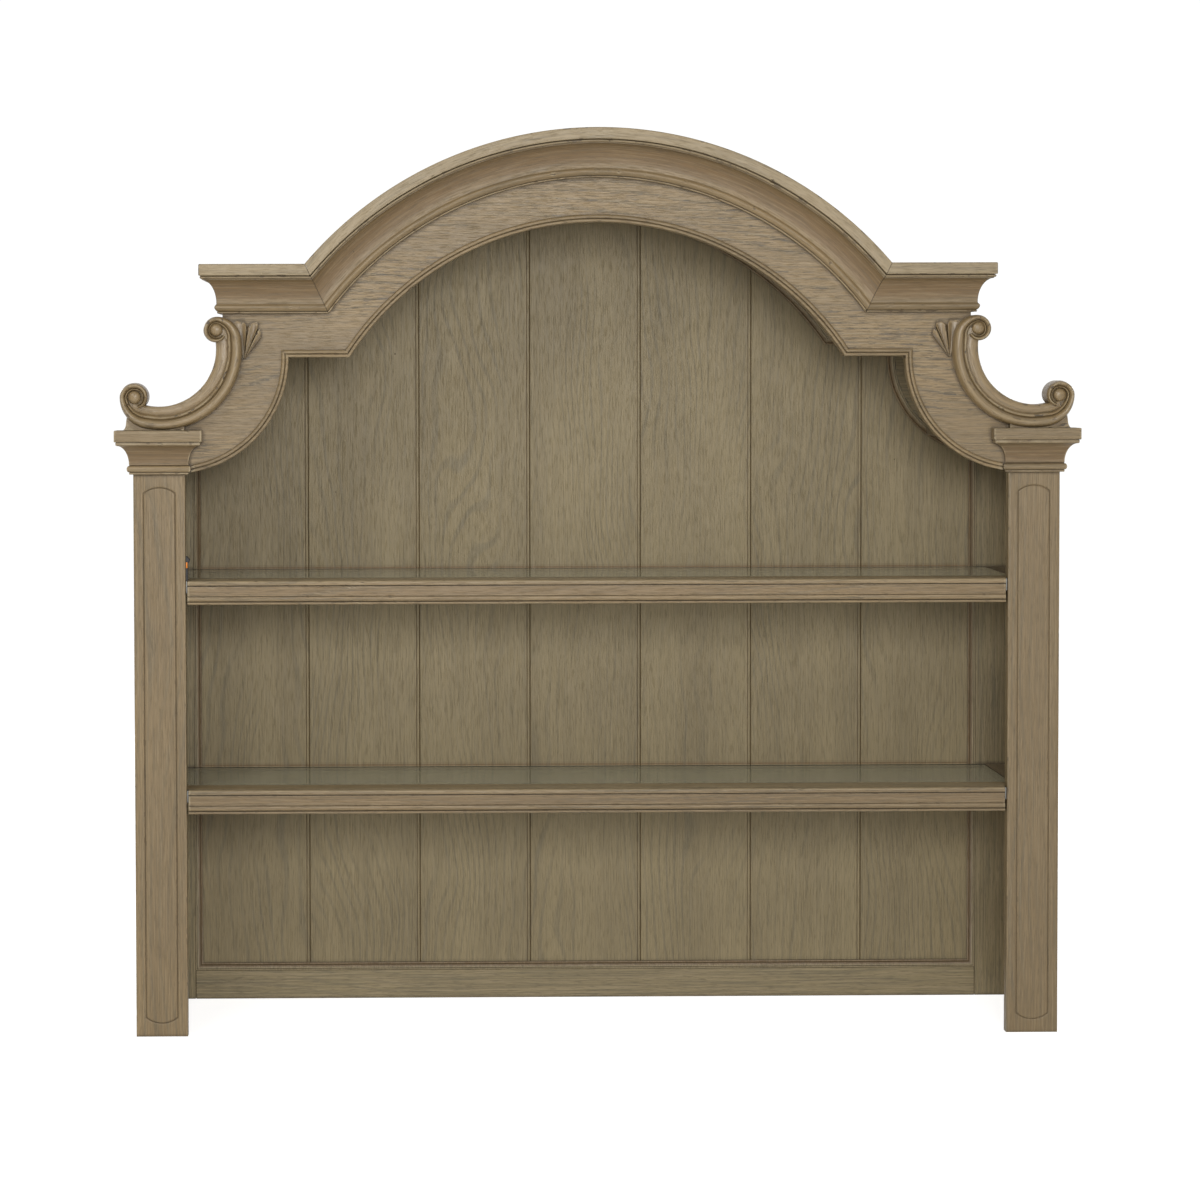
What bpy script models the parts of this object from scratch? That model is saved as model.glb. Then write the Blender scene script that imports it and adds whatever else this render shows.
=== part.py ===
"""Arched hutch top: a face frame of two posts and an arched board under a crown, carved scrolls on
the capitals, a planked back, and two shelves whose glass panes lift out of their rebates.

Metres, +Z up. The front faces -Y, and the origin lies on the floor under the middle of the piece."""

import math

import bmesh
import bpy
from mathutils import Matrix, Vector

# Between pieces that touch, and how far a cutter runs past what it cuts
GAP = 0.0003
OVERRUN = 0.004

# The edges of boards and of mouldings are eased by this much
EASE = 0.0008
MOULDED_EASE = 0.0016

# Face frame
FACE_WIDTH = 1.525
FACE_THICK = 0.022
POST_WIDTH = 0.085
POST_HEIGHT = 0.9295

# Line routed round the front of each post
LINE_MARGIN = 0.0165
LINE_WIDTH = 0.003
LINE_DEPTH = 0.0024
LINE_TOP_MARGIN = 0.0215
LINE_BOTTOM_MARGIN = 0.0225
LINE_RISE = 0.0095

# Capitals, from the bottom up, with how far each part stands out from the post
CAP_FOOT_HEIGHT = 0.0035
CAP_FOOT_OUT = 0.0062
CAP_ROLL_HEIGHT = 0.011
CAP_ROLL_OUT = 0.0098
CAP_COVE_HEIGHT = 0.0335
CAP_FILLET_HEIGHT = 0.0055
CAP_FILLET_OUT = 0.0265
CAP_PLATE_HEIGHT = 0.019
CAP_PLATE_OUT = 0.029

# Crown, from the top down, with how far each part stands out from the board
CROWN_BAND_HEIGHT = 0.019
CROWN_BAND_OUT = 0.037
CROWN_BEAD_HEIGHT = 0.0056
CROWN_BEAD_OUT = 0.0335
CROWN_COVE_HEIGHT = 0.0407
CROWN_COVE_OUT = 0.031
CROWN_NECK_OUT = 0.0092
CROWN_ROLL_HEIGHT = 0.0100
CROWN_ROLL_OUT = 0.0125
CROWN_FOOT_HEIGHT = 0.0047
CROWN_FOOT_OUT = 0.0085

# The crown's line: the rise of its arch over the level shoulders, and their width
CROWN_RISE = 0.221
SHOULDER_WIDTH = 0.1355

# How much narrower the part over the capitals is on each side than the face frame
UPPER_SET_IN = 0.148

# Opening under the arched board: an arch, a step to each side and a quarter round down to the posts.
# The quarter round's centre lies outside the post's inner edge, and its end a little over the post
ARCH_RISE = 0.2206
STEP_WIDTH = 0.0997
QUARTER_RADIUS = 0.1905
QUARTER_SET_OUT = 0.0195
QUARTER_LIFT = 0.001

# Two reeds along the edge of that opening
REED_WIDTH = 0.0122
REED_PROUD = 0.0032

# Scrolls, seen from the front, measured from the centre of the big curve. That centre lies outside
# the post's inner edge, and the headroom is left between the upper volute and the crown
SCROLL_SET_OUT = 0.0376
SCROLL_HEADROOM = 0.0052
SCROLL_RADIUS = 0.1325
SCROLL_WIDTH = 0.0255
SCROLL_PROUD = 0.024
HOLLOW_RADIUS = 0.0949
HOLLOW_SHIFT_X = 0.0049
HOLLOW_SHIFT_Z = 0.0008
UPPER_VOLUTE_IN = 0.0916
UPPER_VOLUTE_RISE = 0.031
UPPER_VOLUTE_RADIUS = 0.022
UPPER_VOLUTE_WIDTH = 0.0125
LOWER_VOLUTE_OUT = 0.0439
LOWER_VOLUTE_DROP = 0.079
LOWER_VOLUTE_RADIUS = 0.024
LOWER_VOLUTE_WIDTH = 0.0135
VOLUTE_END_WIDTH = 0.0075
EYE_RADIUS = 0.0108
FOOT_REACH = 0.0635
FOOT_FLARE = 0.0062
FOOT_HEIGHT = 0.0195

# The volutes' rolls wind in on smaller radii, shares of the volute's, and stop at a share of a
# quarter turn
UPPER_NEAR_SHARE = 0.9
UPPER_TAIL_SHARE = 0.72
UPPER_TURN_SHARE = 1.3
LOWER_FAR_SHARE = 0.96
LOWER_END_SHARE = 0.78
LOWER_TURN_SHARE = 0.65

# How far the scroll's lower parts stand out, as shares of the roll's height
BAND_OUT_SHARE = 0.52
EYE_OUT_SHARE = 0.42
DISC_OUT_SHARE = 0.4
FOOT_OUT_SHARE = 0.3

# Half-width of the volute's disc is short of its roll's edge by this share of the roll's width
DISC_INSET_SHARE = 0.25

# Where the band on the hollow side begins and ends, in degrees round the scroll
BAND_START = 164
BAND_END = 294

# The flare of the scroll's foot, as shares of its height, and of its width at the top
FLARE_SHARE = 0.7
FOOT_TOP_SHARE = 1.5
FOOT_TOP_IN_SHARE = 1.4

# Carved leaf beside each scroll, its root measured from the side and from the scroll's centre
LEAF_SET_IN = 0.0403
LEAF_DROP = 0.0168
LEAF_HEIGHT = 0.069
LEAF_WIDTH = 0.0095
LEAF_PROUD = 0.0055

# Carcase behind the face frame
INNER_DEPTH = 0.294
SIDE_THICK = 0.020
DECK_THICK = 0.018
UPPER_SIDE_THICK = 0.018
ROOF_THICK = 0.010
ROOF_DROP = 0.006

# Framed and planked back
BACK_THICK = 0.018
BACK_REVEAL = 0.021
BACK_STILE_WIDTH = 0.0595
BACK_RAIL_TOP = 0.0625
BACK_BEAD_WIDTH = 0.0125
PLANK_COUNT = 7
PLANK_TUCK = 0.00535
PLANK_THICK = 0.008
PLANK_RECESS = 0.007
PLANK_CHAMFER = 0.0022

# Shelves: a moulded lip, a board behind it, side rails and a pane of glass
SHELF_TOPS = {"lower": 0.408, "upper": 0.754}
LIP_HEIGHT = 0.0395
LIP_DEPTH = 0.022
LIP_SET_BACK = 0.0015
LIP_BAND_HEIGHT = 0.008
LIP_FIELD_HEIGHT = 0.0185
LIP_FOOT_HEIGHT = 0.0045
LIP_SINK = 0.0014
LIP_ROUND = 0.0022
LIP_QUIRK = 0.0006
SHELF_THICK = 0.020
SHELF_FRONT_DEPTH = 0.056
SIDE_RAIL_WIDTH = 0.0435
GLASS_THICK = 0.006
GLASS_LEDGE = 0.010
GLASS_CLEARANCE = 0.001
GLASS_ARRIS = 0.0008
CLEAT_HEIGHT = 0.020
CLEAT_WIDTH = 0.018
CLEAT_MARGIN = 0.012

# Steel plate at each end of a shelf's lip, and the clip on the left post above the upper shelf
PLATE_THICK = 0.0024
PLATE_HEIGHT = 0.020
PLATE_DEPTH = 0.018
PLATE_DROP = 0.0005
PLATE_EASE = 0.0004
CLIP_HEIGHT = 0.040
CLIP_DEPTH = 0.014
CLIP_THICK = 0.0034
CLIP_FLANGE_OUT = 0.0066
CLIP_SET_BACK = 0.003
CLIP_FLANGE_SHARES = (0.7, 0.84)
BUTTON_HEIGHT = 0.0095
BUTTON_WIDTH = 0.0026
BUTTON_PROUD = 0.0012
BUTTON_EASE = 0.0003
BUTTON_RISE_SHARE = 0.65

# Points along each curve
ARCH_STEPS = 32
QUARTER_STEPS = 8
COVE_STEPS = 6
ROLL_STEPS = 4
LINE_STEPS = 6
SCROLL_TURN = 7.5
VOLUTE_TURN = 15
EYE_SEGMENTS = 14
EYE_RINGS = 8

# Colours: linear red, green, blue
OAK = (0.150, 0.123, 0.096)
OAK_LIGHT = (0.190, 0.158, 0.122)
OAK_DARK = (0.092, 0.080, 0.068)
OAK_INSIDE = (0.118, 0.100, 0.080)
GLASS = (0.62, 0.74, 0.70)
STEEL = (0.60, 0.61, 0.62)
BLACK = (0.012, 0.012, 0.013)
ORANGE = (0.85, 0.24, 0.02)

# Worked out from the sizes above
HALF_FACE = FACE_WIDTH / 2
POST_INNER = HALF_FACE - POST_WIDTH
SIDE_INNER = HALF_FACE - SIDE_THICK
UPPER_HALF_WIDTH = HALF_FACE - UPPER_SET_IN
CAP_HEIGHT = CAP_FOOT_HEIGHT + CAP_ROLL_HEIGHT + CAP_COVE_HEIGHT + CAP_FILLET_HEIGHT + CAP_PLATE_HEIGHT
CAP_TOP = POST_HEIGHT + CAP_HEIGHT
CROWN_HEIGHT = (
    CROWN_BAND_HEIGHT + CROWN_BEAD_HEIGHT + CROWN_COVE_HEIGHT + CROWN_ROLL_HEIGHT + CROWN_FOOT_HEIGHT
)
FRONT_OUT = max(CROWN_BAND_OUT + GAP, CAP_PLATE_OUT)
TOTAL_DEPTH = FRONT_OUT + FACE_THICK + INNER_DEPTH + BACK_THICK
FACE_Y = FRONT_OUT - TOTAL_DEPTH / 2
FACE_BACK_Y = FACE_Y + FACE_THICK
BACK_Y = TOTAL_DEPTH / 2
BACK_FRONT_Y = BACK_Y - BACK_THICK
PLANK_Y = BACK_FRONT_Y + PLANK_RECESS
BACK_HALF_OPENING = SIDE_INNER - BACK_STILE_WIDTH - BACK_BEAD_WIDTH
PLANK_PITCH = (BACK_HALF_OPENING + PLANK_TUCK) * 2 / PLANK_COUNT
UPPER_INNER = UPPER_HALF_WIDTH - UPPER_SIDE_THICK
ROOF_UNDERSIDE_DROP = ROOF_DROP + ROOF_THICK
SCROLL_X = POST_INNER + SCROLL_SET_OUT
SCROLL_Z = CAP_TOP + GAP + SCROLL_RADIUS
LEAF_X = UPPER_HALF_WIDTH - LEAF_SET_IN
LEAF_Z = SCROLL_Z - LEAF_DROP
CROWN_SHOULDER = SCROLL_Z + UPPER_VOLUTE_RISE + UPPER_VOLUTE_RADIUS + SCROLL_HEADROOM + CROWN_HEIGHT
CROWN_APEX = CROWN_SHOULDER + CROWN_RISE
CROWN_HALF_CHORD = UPPER_HALF_WIDTH - SHOULDER_WIDTH
QUARTER_X = POST_INNER + QUARTER_SET_OUT
ARCH_STEP = POST_HEIGHT + QUARTER_LIFT + QUARTER_RADIUS
ARCH_APEX = ARCH_STEP + ARCH_RISE
ARCH_HALF_CHORD = QUARTER_X - QUARTER_RADIUS - STEP_WIDTH
GLASS_HALF_WIDTH = SIDE_INNER - GAP - SIDE_RAIL_WIDTH - GLASS_CLEARANCE
LIP_HALF_WIDTH = POST_INNER - PLATE_THICK - 2 * GAP
LIP_Y = FACE_Y + LIP_SET_BACK
SHELF_Y = LIP_Y + LIP_DEPTH + GAP
SHELF_BACK_Y = SHELF_Y + SHELF_FRONT_DEPTH


def centre_and_radius(half_chord, low, high):
    """Height of the centre, and radius, of the arc over a chord."""
    rise = high - low
    radius = (half_chord**2 + rise**2) / (2 * rise)
    return high - radius, radius


CROWN_CENTRE_Z, CROWN_RADIUS = centre_and_radius(CROWN_HALF_CHORD, CROWN_SHOULDER, CROWN_APEX)
ARCH_CENTRE_Z, ARCH_RADIUS = centre_and_radius(ARCH_HALF_CHORD, ARCH_STEP, ARCH_APEX)


def spread(first, last, steps):
    """Evenly spaced values from first to last, both included."""
    return [first + (last - first) * i / steps for i in range(steps + 1)]


def arc(centre, radius, first, last, steps):
    """Points round a circle, angles in radians."""
    return [
        (centre[0] + radius * math.cos(a), centre[1] + radius * math.sin(a))
        for a in spread(first, last, steps)
    ]


def mirrored_points(points):
    return [(-x, z) for x, z in reversed(points)]


def finish(obj, colour, roughness=0.55, metallic=0.0, alpha=1.0):
    """Gives the object a material of its own."""
    material = bpy.data.materials.new(obj.name)
    material.use_nodes = True
    shader = material.node_tree.nodes["Principled BSDF"]
    shader.inputs["Base Color"].default_value = (*colour, 1.0)
    shader.inputs["Roughness"].default_value = roughness
    shader.inputs["Metallic"].default_value = metallic
    shader.inputs["Alpha"].default_value = alpha
    material.diffuse_color = (*colour, alpha)
    obj.data.materials.clear()
    obj.data.materials.append(material)
    return obj


def as_object(name, bm, place=(0, 0, 0)):
    """Turns a closed bmesh, whose origin goes to place, into an object whose faces point out."""
    bmesh.ops.recalc_face_normals(bm, faces=bm.faces)
    if bm.calc_volume(signed=True) < 0:
        bmesh.ops.reverse_faces(bm, faces=bm.faces)
    mesh = bpy.data.meshes.new(name)
    bm.to_mesh(mesh)
    bm.free()
    mesh.shade_smooth()
    mesh.set_sharp_from_angle(angle=math.radians(35))
    obj = bpy.data.objects.new(name, mesh)
    obj.location = place
    bpy.context.scene.collection.objects.link(obj)
    return obj


def skin(name, rings, closed=False):
    """A solid through rings of points. Its ends are capped unless the rings close on themselves."""
    bm = bmesh.new()
    rows = [[bm.verts.new(point) for point in ring] for ring in rings]
    count = len(rows[0])
    following = rows[1:] + rows[:1] if closed else rows[1:]
    for row, after in zip(rows, following):
        for i in range(count):
            j = (i + 1) % count
            bm.faces.new((row[i], row[j], after[j], after[i]))
    if not closed:
        bm.faces.new(rows[0])
        bm.faces.new(rows[-1])
    return as_object(name, bm)


def prism(name, outline, front, back):
    """An outline in x and z, carried from one depth to another."""
    return skin(name, [[(x, y, z) for x, z in outline] for y in (front, back)])


def board(name, low, high, ease=EASE):
    """A board between two corners, with its edges eased and its origin in its middle."""
    bm = bmesh.new()
    size = Vector(high) - Vector(low)
    middle = (Vector(high) + Vector(low)) / 2
    bmesh.ops.create_cube(bm, size=1, matrix=Matrix.Diagonal((*size, 1)))
    if ease:
        bmesh.ops.bevel(bm, geom=bm.edges[:], offset=ease, segments=1, affect="EDGES")
    return as_object(name, bm, middle)


def mirror_copy(obj, name):
    """The same piece on the other side of the middle."""
    bm = bmesh.new()
    bm.from_mesh(obj.data)
    bmesh.ops.scale(bm, vec=(-1, 1, 1), verts=bm.verts)
    x, y, z = obj.location
    return as_object(name, bm, (-x, y, z))


def pair(kind, make, colour, **surface):
    """Makes a piece on the right and its mirror image on the left."""
    right = make(f"right_{kind}")
    left = mirror_copy(right, f"left_{kind}")
    finish(right, colour, **surface)
    finish(left, colour, **surface)


def combined(base, joined=(), cut=()):
    """Joins and cuts with Booleans, then drops the helpers."""
    helpers = [(helper, "UNION") for helper in joined] + [(helper, "DIFFERENCE") for helper in cut]
    for helper, operation in helpers:
        helper.hide_render = True
        helper.display_type = "WIRE"
        modifier = base.modifiers.new(helper.name, "BOOLEAN")
        modifier.operation = operation
        modifier.object = helper
    graph = bpy.context.evaluated_depsgraph_get()
    made = bpy.data.meshes.new_from_object(base.evaluated_get(graph))
    base.modifiers.clear()
    base.data = made
    made.name = base.name
    made.shade_smooth()
    made.set_sharp_from_angle(angle=math.radians(35))
    for helper, _ in helpers:
        bpy.data.objects.remove(helper)
    return base


def opening(offset, end_x):
    """Edge of the arched opening, grown by offset, from the left to the right, ending at end_x."""
    quarter = QUARTER_RADIUS - offset
    low = math.acos((QUARTER_X - end_x) / quarter)
    high = -math.asin(offset / quarter)
    right = [
        (QUARTER_X - quarter * math.cos(a), ARCH_STEP - quarter * math.sin(a))
        for a in spread(high, low, QUARTER_STEPS)
    ]
    radius = ARCH_RADIUS + offset
    rise = ARCH_STEP + offset - ARCH_CENTRE_Z
    corner = math.asin(rise / radius)
    middle = arc((0, ARCH_CENTRE_Z), radius, math.pi - corner, corner, ARCH_STEPS)
    return mirrored_points(right) + middle + right


def crown_corner(drop):
    """Where the arch meets the right shoulder, at a distance below the top line."""
    z = CROWN_SHOULDER - drop
    radius = CROWN_RADIUS - drop
    return Vector((math.sqrt(radius**2 - (z - CROWN_CENTRE_Z) ** 2), z))


def crown_line(drop, half_width):
    """The top line, lowered by drop, from the left end to the right."""
    corner = crown_corner(drop)
    angle = math.atan2(corner[1] - CROWN_CENTRE_Z, corner[0])
    middle = arc((0, CROWN_CENTRE_Z), CROWN_RADIUS - drop, math.pi - angle, angle, ARCH_STEPS)
    return [(-half_width, corner[1])] + middle + [(half_width, corner[1])]


def half_round(first, last, out, flat_out, steps):
    """A bead between two heights, standing out from flat_out to out, as (height, out) points."""
    middle = (first + last) / 2
    half = (last - first) / 2
    return [
        (middle - half * math.cos(a), flat_out + (out - flat_out) * math.sin(a))
        for a in spread(0, math.pi, steps)
    ]


def crown_profile():
    """Crown section as (distance below the top, distance out), from the top of its back to the foot."""
    bead_top = CROWN_BAND_HEIGHT
    cove_top = bead_top + CROWN_BEAD_HEIGHT
    neck = cove_top + CROWN_COVE_HEIGHT
    roll_end = neck + CROWN_ROLL_HEIGHT
    cove_span = CROWN_COVE_OUT - CROWN_NECK_OUT
    cove_height = CROWN_COVE_HEIGHT - MOULDED_EASE * 2
    cove = [
        (cove_top + cove_height * (1 - math.cos(a)), CROWN_COVE_OUT - cove_span * math.sin(a))
        for a in spread(0, math.pi / 2, COVE_STEPS)
    ]
    points = [(0, 0), (0, CROWN_BAND_OUT - MOULDED_EASE), (MOULDED_EASE, CROWN_BAND_OUT)]
    points += [(bead_top - MOULDED_EASE, CROWN_BAND_OUT), (bead_top, CROWN_BAND_OUT - MOULDED_EASE)]
    points += half_round(bead_top, cove_top, CROWN_BEAD_OUT, CROWN_COVE_OUT, ROLL_STEPS)[:-1]
    points += cove + [(neck, CROWN_NECK_OUT)]
    points += half_round(neck, roll_end, CROWN_ROLL_OUT, CROWN_NECK_OUT, ROLL_STEPS)[1:]
    points += [(roll_end, CROWN_FOOT_OUT), (CROWN_HEIGHT, CROWN_FOOT_OUT), (CROWN_HEIGHT, 0)]
    return points


def crown_arch():
    """The arched length of the crown, cut square across the mitre at each end."""
    outer = crown_corner(0)
    along = (crown_corner(CROWN_HEIGHT) - outer).normalized()
    outer = outer - Vector((-along[1], along[0])) * GAP / 2
    start = outer - Vector((0, CROWN_CENTRE_Z))
    ends = []
    for drop, _ in crown_profile():
        reach = start.dot(along)
        far = -reach - math.sqrt(reach**2 - start.length_squared + (CROWN_RADIUS - drop) ** 2)
        meeting = start + along * far
        ends.append(math.atan2(meeting[1], meeting[0]))
    rings = []
    for share in spread(0, 1, ARCH_STEPS):
        ring = []
        for (drop, out), end in zip(crown_profile(), ends):
            angle = math.pi - end + (2 * end - math.pi) * share
            radius = CROWN_RADIUS - drop
            x, z = radius * math.cos(angle), CROWN_CENTRE_Z + radius * math.sin(angle)
            ring.append((x, FACE_Y - GAP - out, z))
        rings.append(ring)
    return skin("crown_arch", rings)


def crown_shoulder(name):
    """The level length of the crown on the right, mitred at both ends."""
    outer, inner = crown_corner(0), crown_corner(CROWN_HEIGHT)
    slope = (inner[0] - outer[0]) / (inner[1] - outer[1])
    near, far = [], []
    for drop, out in crown_profile():
        z = CROWN_SHOULDER - drop
        y = FACE_Y - GAP - out
        near.append((outer[0] + (z - outer[1]) * slope + GAP, y, z))
        far.append((UPPER_HALF_WIDTH + out, y, z))
    return skin(name, [near, far])


def crown_return(name):
    """The length of the crown along the right side, from the mitre to the back."""
    front = [
        (UPPER_HALF_WIDTH + GAP + out, FACE_Y - out + GAP, CROWN_SHOULDER - drop)
        for drop, out in crown_profile()
    ]
    return skin(name, [front, [(x, BACK_Y, z) for x, _, z in front]])


def post(name):
    """A post with a line routed round its front, arched at the top and the bottom."""
    body = board(name, (POST_INNER, FACE_Y, 0), (HALF_FACE, FACE_BACK_Y, POST_HEIGHT - GAP))
    middle = (POST_INNER + HALF_FACE) / 2
    low, high = LINE_BOTTOM_MARGIN, POST_HEIGHT - LINE_TOP_MARGIN
    wide = LINE_WIDTH / 2 * (1 + OVERRUN / LINE_DEPTH)
    rails = []
    for inset, y in ((-wide, FACE_Y - OVERRUN), (0, FACE_Y + LINE_DEPTH), (wide, FACE_Y - OVERRUN)):
        half = POST_WIDTH / 2 - LINE_MARGIN - inset
        top_z, radius = centre_and_radius(half, high - LINE_RISE - inset, high - inset)
        angle = math.acos(half / radius)
        top = arc((middle, top_z), radius, angle, math.pi - angle, LINE_STEPS)
        bottom = [(2 * middle - x, low + high - z) for x, z in top]
        rails.append([(x, y, z) for x, z in top + bottom])
    line = skin("line", list(zip(*rails)), closed=True)
    return combined(body, cut=[line])


def capital_profile():
    """Capital section as (height, distance out), from the foot up."""
    roll = POST_HEIGHT + CAP_FOOT_HEIGHT
    cove = roll + CAP_ROLL_HEIGHT
    fillet = cove + CAP_COVE_HEIGHT
    plate = fillet + CAP_FILLET_HEIGHT
    span = CAP_FILLET_OUT - MOULDED_EASE - CAP_FOOT_OUT
    cove_height = CAP_COVE_HEIGHT - MOULDED_EASE
    points = [(POST_HEIGHT, CAP_FOOT_OUT), (roll, CAP_FOOT_OUT)]
    points += half_round(roll, cove, CAP_ROLL_OUT, CAP_FOOT_OUT, ROLL_STEPS)[1:]
    points += [
        (cove + MOULDED_EASE + cove_height * math.sin(a), CAP_FOOT_OUT + span * (1 - math.cos(a)))
        for a in spread(0, math.pi / 2, COVE_STEPS)
    ]
    points += [(fillet, CAP_FILLET_OUT), (plate, CAP_FILLET_OUT)]
    points += [(plate, CAP_PLATE_OUT - MOULDED_EASE), (plate + MOULDED_EASE, CAP_PLATE_OUT)]
    return points + [(CAP_TOP - MOULDED_EASE, CAP_PLATE_OUT), (CAP_TOP, CAP_PLATE_OUT - MOULDED_EASE)]


def capital(name):
    """A capital that wraps the post, its inner return stopping against the arched board."""
    rings = []
    for z, out in capital_profile():
        inner, outer, front = POST_INNER - out, HALF_FACE + out, FACE_Y - out
        rings.append(
            [
                (inner, front, z),
                (inner, FACE_Y - GAP, z),
                (POST_INNER, FACE_Y - GAP, z),
                (POST_INNER, FACE_BACK_Y, z),
                (outer, FACE_BACK_Y, z),
                (outer, front, z),
            ]
        )
    return skin(name, rings)


def arch_board():
    """The board over the opening, its ends rounded to seat the scrolls."""
    end_x = POST_INNER - GAP
    edge = opening(0, end_x)
    radius = SCROLL_X - UPPER_HALF_WIDTH
    low = math.pi + math.acos((SCROLL_X - end_x) / radius)
    end = arc((SCROLL_X, SCROLL_Z), radius, low, math.pi, QUARTER_STEPS)
    top = crown_line(ROOF_UNDERSIDE_DROP + GAP, UPPER_HALF_WIDTH)
    outline = edge + end + top[::-1] + mirrored_points(end)
    return prism("arch_board", outline, FACE_Y, FACE_BACK_Y)


def arch_reeds():
    """Two reeds along the edge of the opening, on the face of the board."""
    end_x = POST_INNER - CAP_ROLL_OUT - GAP
    section_shares = ((0, 0), (0, 0.6), (0.1, 1), (0.36, 1), (0.46, 0.35), (0.54, 0.35), (0.62, 0.9))
    section_shares += ((0.84, 0.9), (0.96, 0.5), (1, 0))
    paths = [opening(REED_WIDTH * across, end_x) for across, _ in section_shares]
    rings = [
        [(x, FACE_Y - GAP - REED_PROUD * out, z) for (x, z), (_, out) in zip(station, section_shares)]
        for station in zip(*paths)
    ]
    return skin("arch_reeds", rings)


def tangent_radius(point, toward):
    """Radius of the circle that leaves point, curving about a centre in the direction toward, and
    runs smoothly into the big curve of the scroll."""
    return (SCROLL_RADIUS**2 - point.length_squared) / (2 * (SCROLL_RADIUS + toward.dot(point)))


def unit(angle):
    return Vector((math.cos(angle), math.sin(angle)))


def scroll_arcs():
    """Arcs of the scroll's outer edge, as (centre, radius, first angle, last angle, width at its start,
    width at its end), from the inside of the upper volute to the inside of the lower one."""
    upper = Vector((-UPPER_VOLUTE_IN, UPPER_VOLUTE_RISE))
    lower = Vector((LOWER_VOLUTE_OUT, -LOWER_VOLUTE_DROP))
    top = upper + Vector((0, UPPER_VOLUTE_RADIUS))
    side = lower + Vector((LOWER_VOLUTE_RADIUS, 0))
    top_radius = tangent_radius(top, Vector((0, -1)))
    side_radius = tangent_radius(side, Vector((-1, 0)))
    top_centre = top - Vector((0, top_radius))
    side_centre = side - Vector((side_radius, 0))
    enter = math.atan2(top_centre[1], top_centre[0])
    leave = math.atan2(side_centre[1], side_centre[0]) + math.tau
    right, half, full = math.pi / 2, math.pi, math.tau
    near = UPPER_VOLUTE_RADIUS * UPPER_NEAR_SHARE
    upper_near = upper + Vector((UPPER_VOLUTE_RADIUS - near, 0))
    tail = UPPER_VOLUTE_RADIUS * UPPER_TAIL_SHARE
    upper_tail = upper_near + Vector((0, tail - near))
    far = LOWER_VOLUTE_RADIUS * LOWER_FAR_SHARE
    lower_far = lower + Vector((0, LOWER_VOLUTE_RADIUS - far))
    end = LOWER_VOLUTE_RADIUS * LOWER_END_SHARE
    lower_end = lower_far + Vector((end - far, 0))
    upper_thin = (UPPER_VOLUTE_WIDTH + VOLUTE_END_WIDTH) / 2
    lower_thin = (LOWER_VOLUTE_WIDTH + VOLUTE_END_WIDTH) / 2
    last = full + half + right * LOWER_TURN_SHARE
    return [
        (upper_tail, tail, -right * UPPER_TURN_SHARE, -right, VOLUTE_END_WIDTH, upper_thin),
        (upper_near, near, -right, 0, upper_thin, UPPER_VOLUTE_WIDTH),
        (upper, UPPER_VOLUTE_RADIUS, 0, right, UPPER_VOLUTE_WIDTH, UPPER_VOLUTE_WIDTH),
        (top_centre, top_radius, right, enter, UPPER_VOLUTE_WIDTH, SCROLL_WIDTH),
        (Vector((0, 0)), SCROLL_RADIUS, enter, leave, SCROLL_WIDTH, SCROLL_WIDTH),
        (side_centre, side_radius, leave, full, SCROLL_WIDTH, LOWER_VOLUTE_WIDTH),
        (lower, LOWER_VOLUTE_RADIUS, full, full + right, LOWER_VOLUTE_WIDTH, LOWER_VOLUTE_WIDTH),
        (lower_far, far, full + right, full + half, LOWER_VOLUTE_WIDTH, lower_thin),
        (lower_end, end, full + half, last, lower_thin, VOLUTE_END_WIDTH),
    ]


def scroll_roll():
    """The scroll's thick roll and the thin one inside it, swept along the outer edge."""
    across_shares = (0, 0, 0.07, 0.2, 0.36, 0.52, 0.62, 0.67, 0.73, 0.82, 0.91, 1, 1)
    out_shares = (None, 0.5, 0.8, 0.96, 1, 0.88, 0.68, 0.5, 0.7, 0.76, 0.66, 0.4, None)
    rings = []
    for centre, radius, first, last, start_width, end_width in scroll_arcs():
        turn = VOLUTE_TURN if radius < SCROLL_RADIUS / 2 else SCROLL_TURN
        steps = max(2, round(abs(last - first) / math.radians(turn)))
        for i, angle in enumerate(spread(first, last, steps)):
            if i == 0 and rings:
                continue
            width = start_width + (end_width - start_width) * i / steps
            ring = []
            for across, out in zip(across_shares, out_shares):
                point = centre + unit(angle) * (radius - width * across)
                y = FACE_BACK_Y + OVERRUN if out is None else FACE_Y - SCROLL_PROUD * out
                ring.append((SCROLL_X + point[0], y, SCROLL_Z + point[1]))
            rings.append(ring)
    return skin("scroll_roll", rings)


def scroll_band():
    """The plain band on the hollow side of the scroll, running into both volutes."""
    hollow = Vector((HOLLOW_SHIFT_X, HOLLOW_SHIFT_Z))
    covered = SCROLL_RADIUS - SCROLL_WIDTH / 2
    first, last = math.radians(BAND_START), math.radians(BAND_END)
    section_shares = ((0, 1), (0.5, 1), (0.85, 0.93), (1, 0.75))
    proud = SCROLL_PROUD * BAND_OUT_SHARE
    rings = []
    for angle in spread(first, last, QUARTER_STEPS * 2):
        outer = unit(angle) * covered
        inner = hollow + unit(angle) * HOLLOW_RADIUS
        ring = [(outer, None)]
        ring += [(outer.lerp(inner, across), out) for across, out in section_shares]
        ring += [(inner, None)]
        rings.append(
            [
                (
                    SCROLL_X + point[0],
                    FACE_BACK_Y + OVERRUN * 2 if out is None else FACE_Y - proud * out,
                    SCROLL_Z + point[1],
                )
                for point, out in ring
            ]
        )
    return skin("scroll_band", rings)


def disc(name, centre, radius, front, back):
    """A round block seen from the front."""
    outline = arc(centre, radius, 0, math.tau, QUARTER_STEPS * 3)[:-1]
    return prism(name, outline, front, back)


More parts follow.
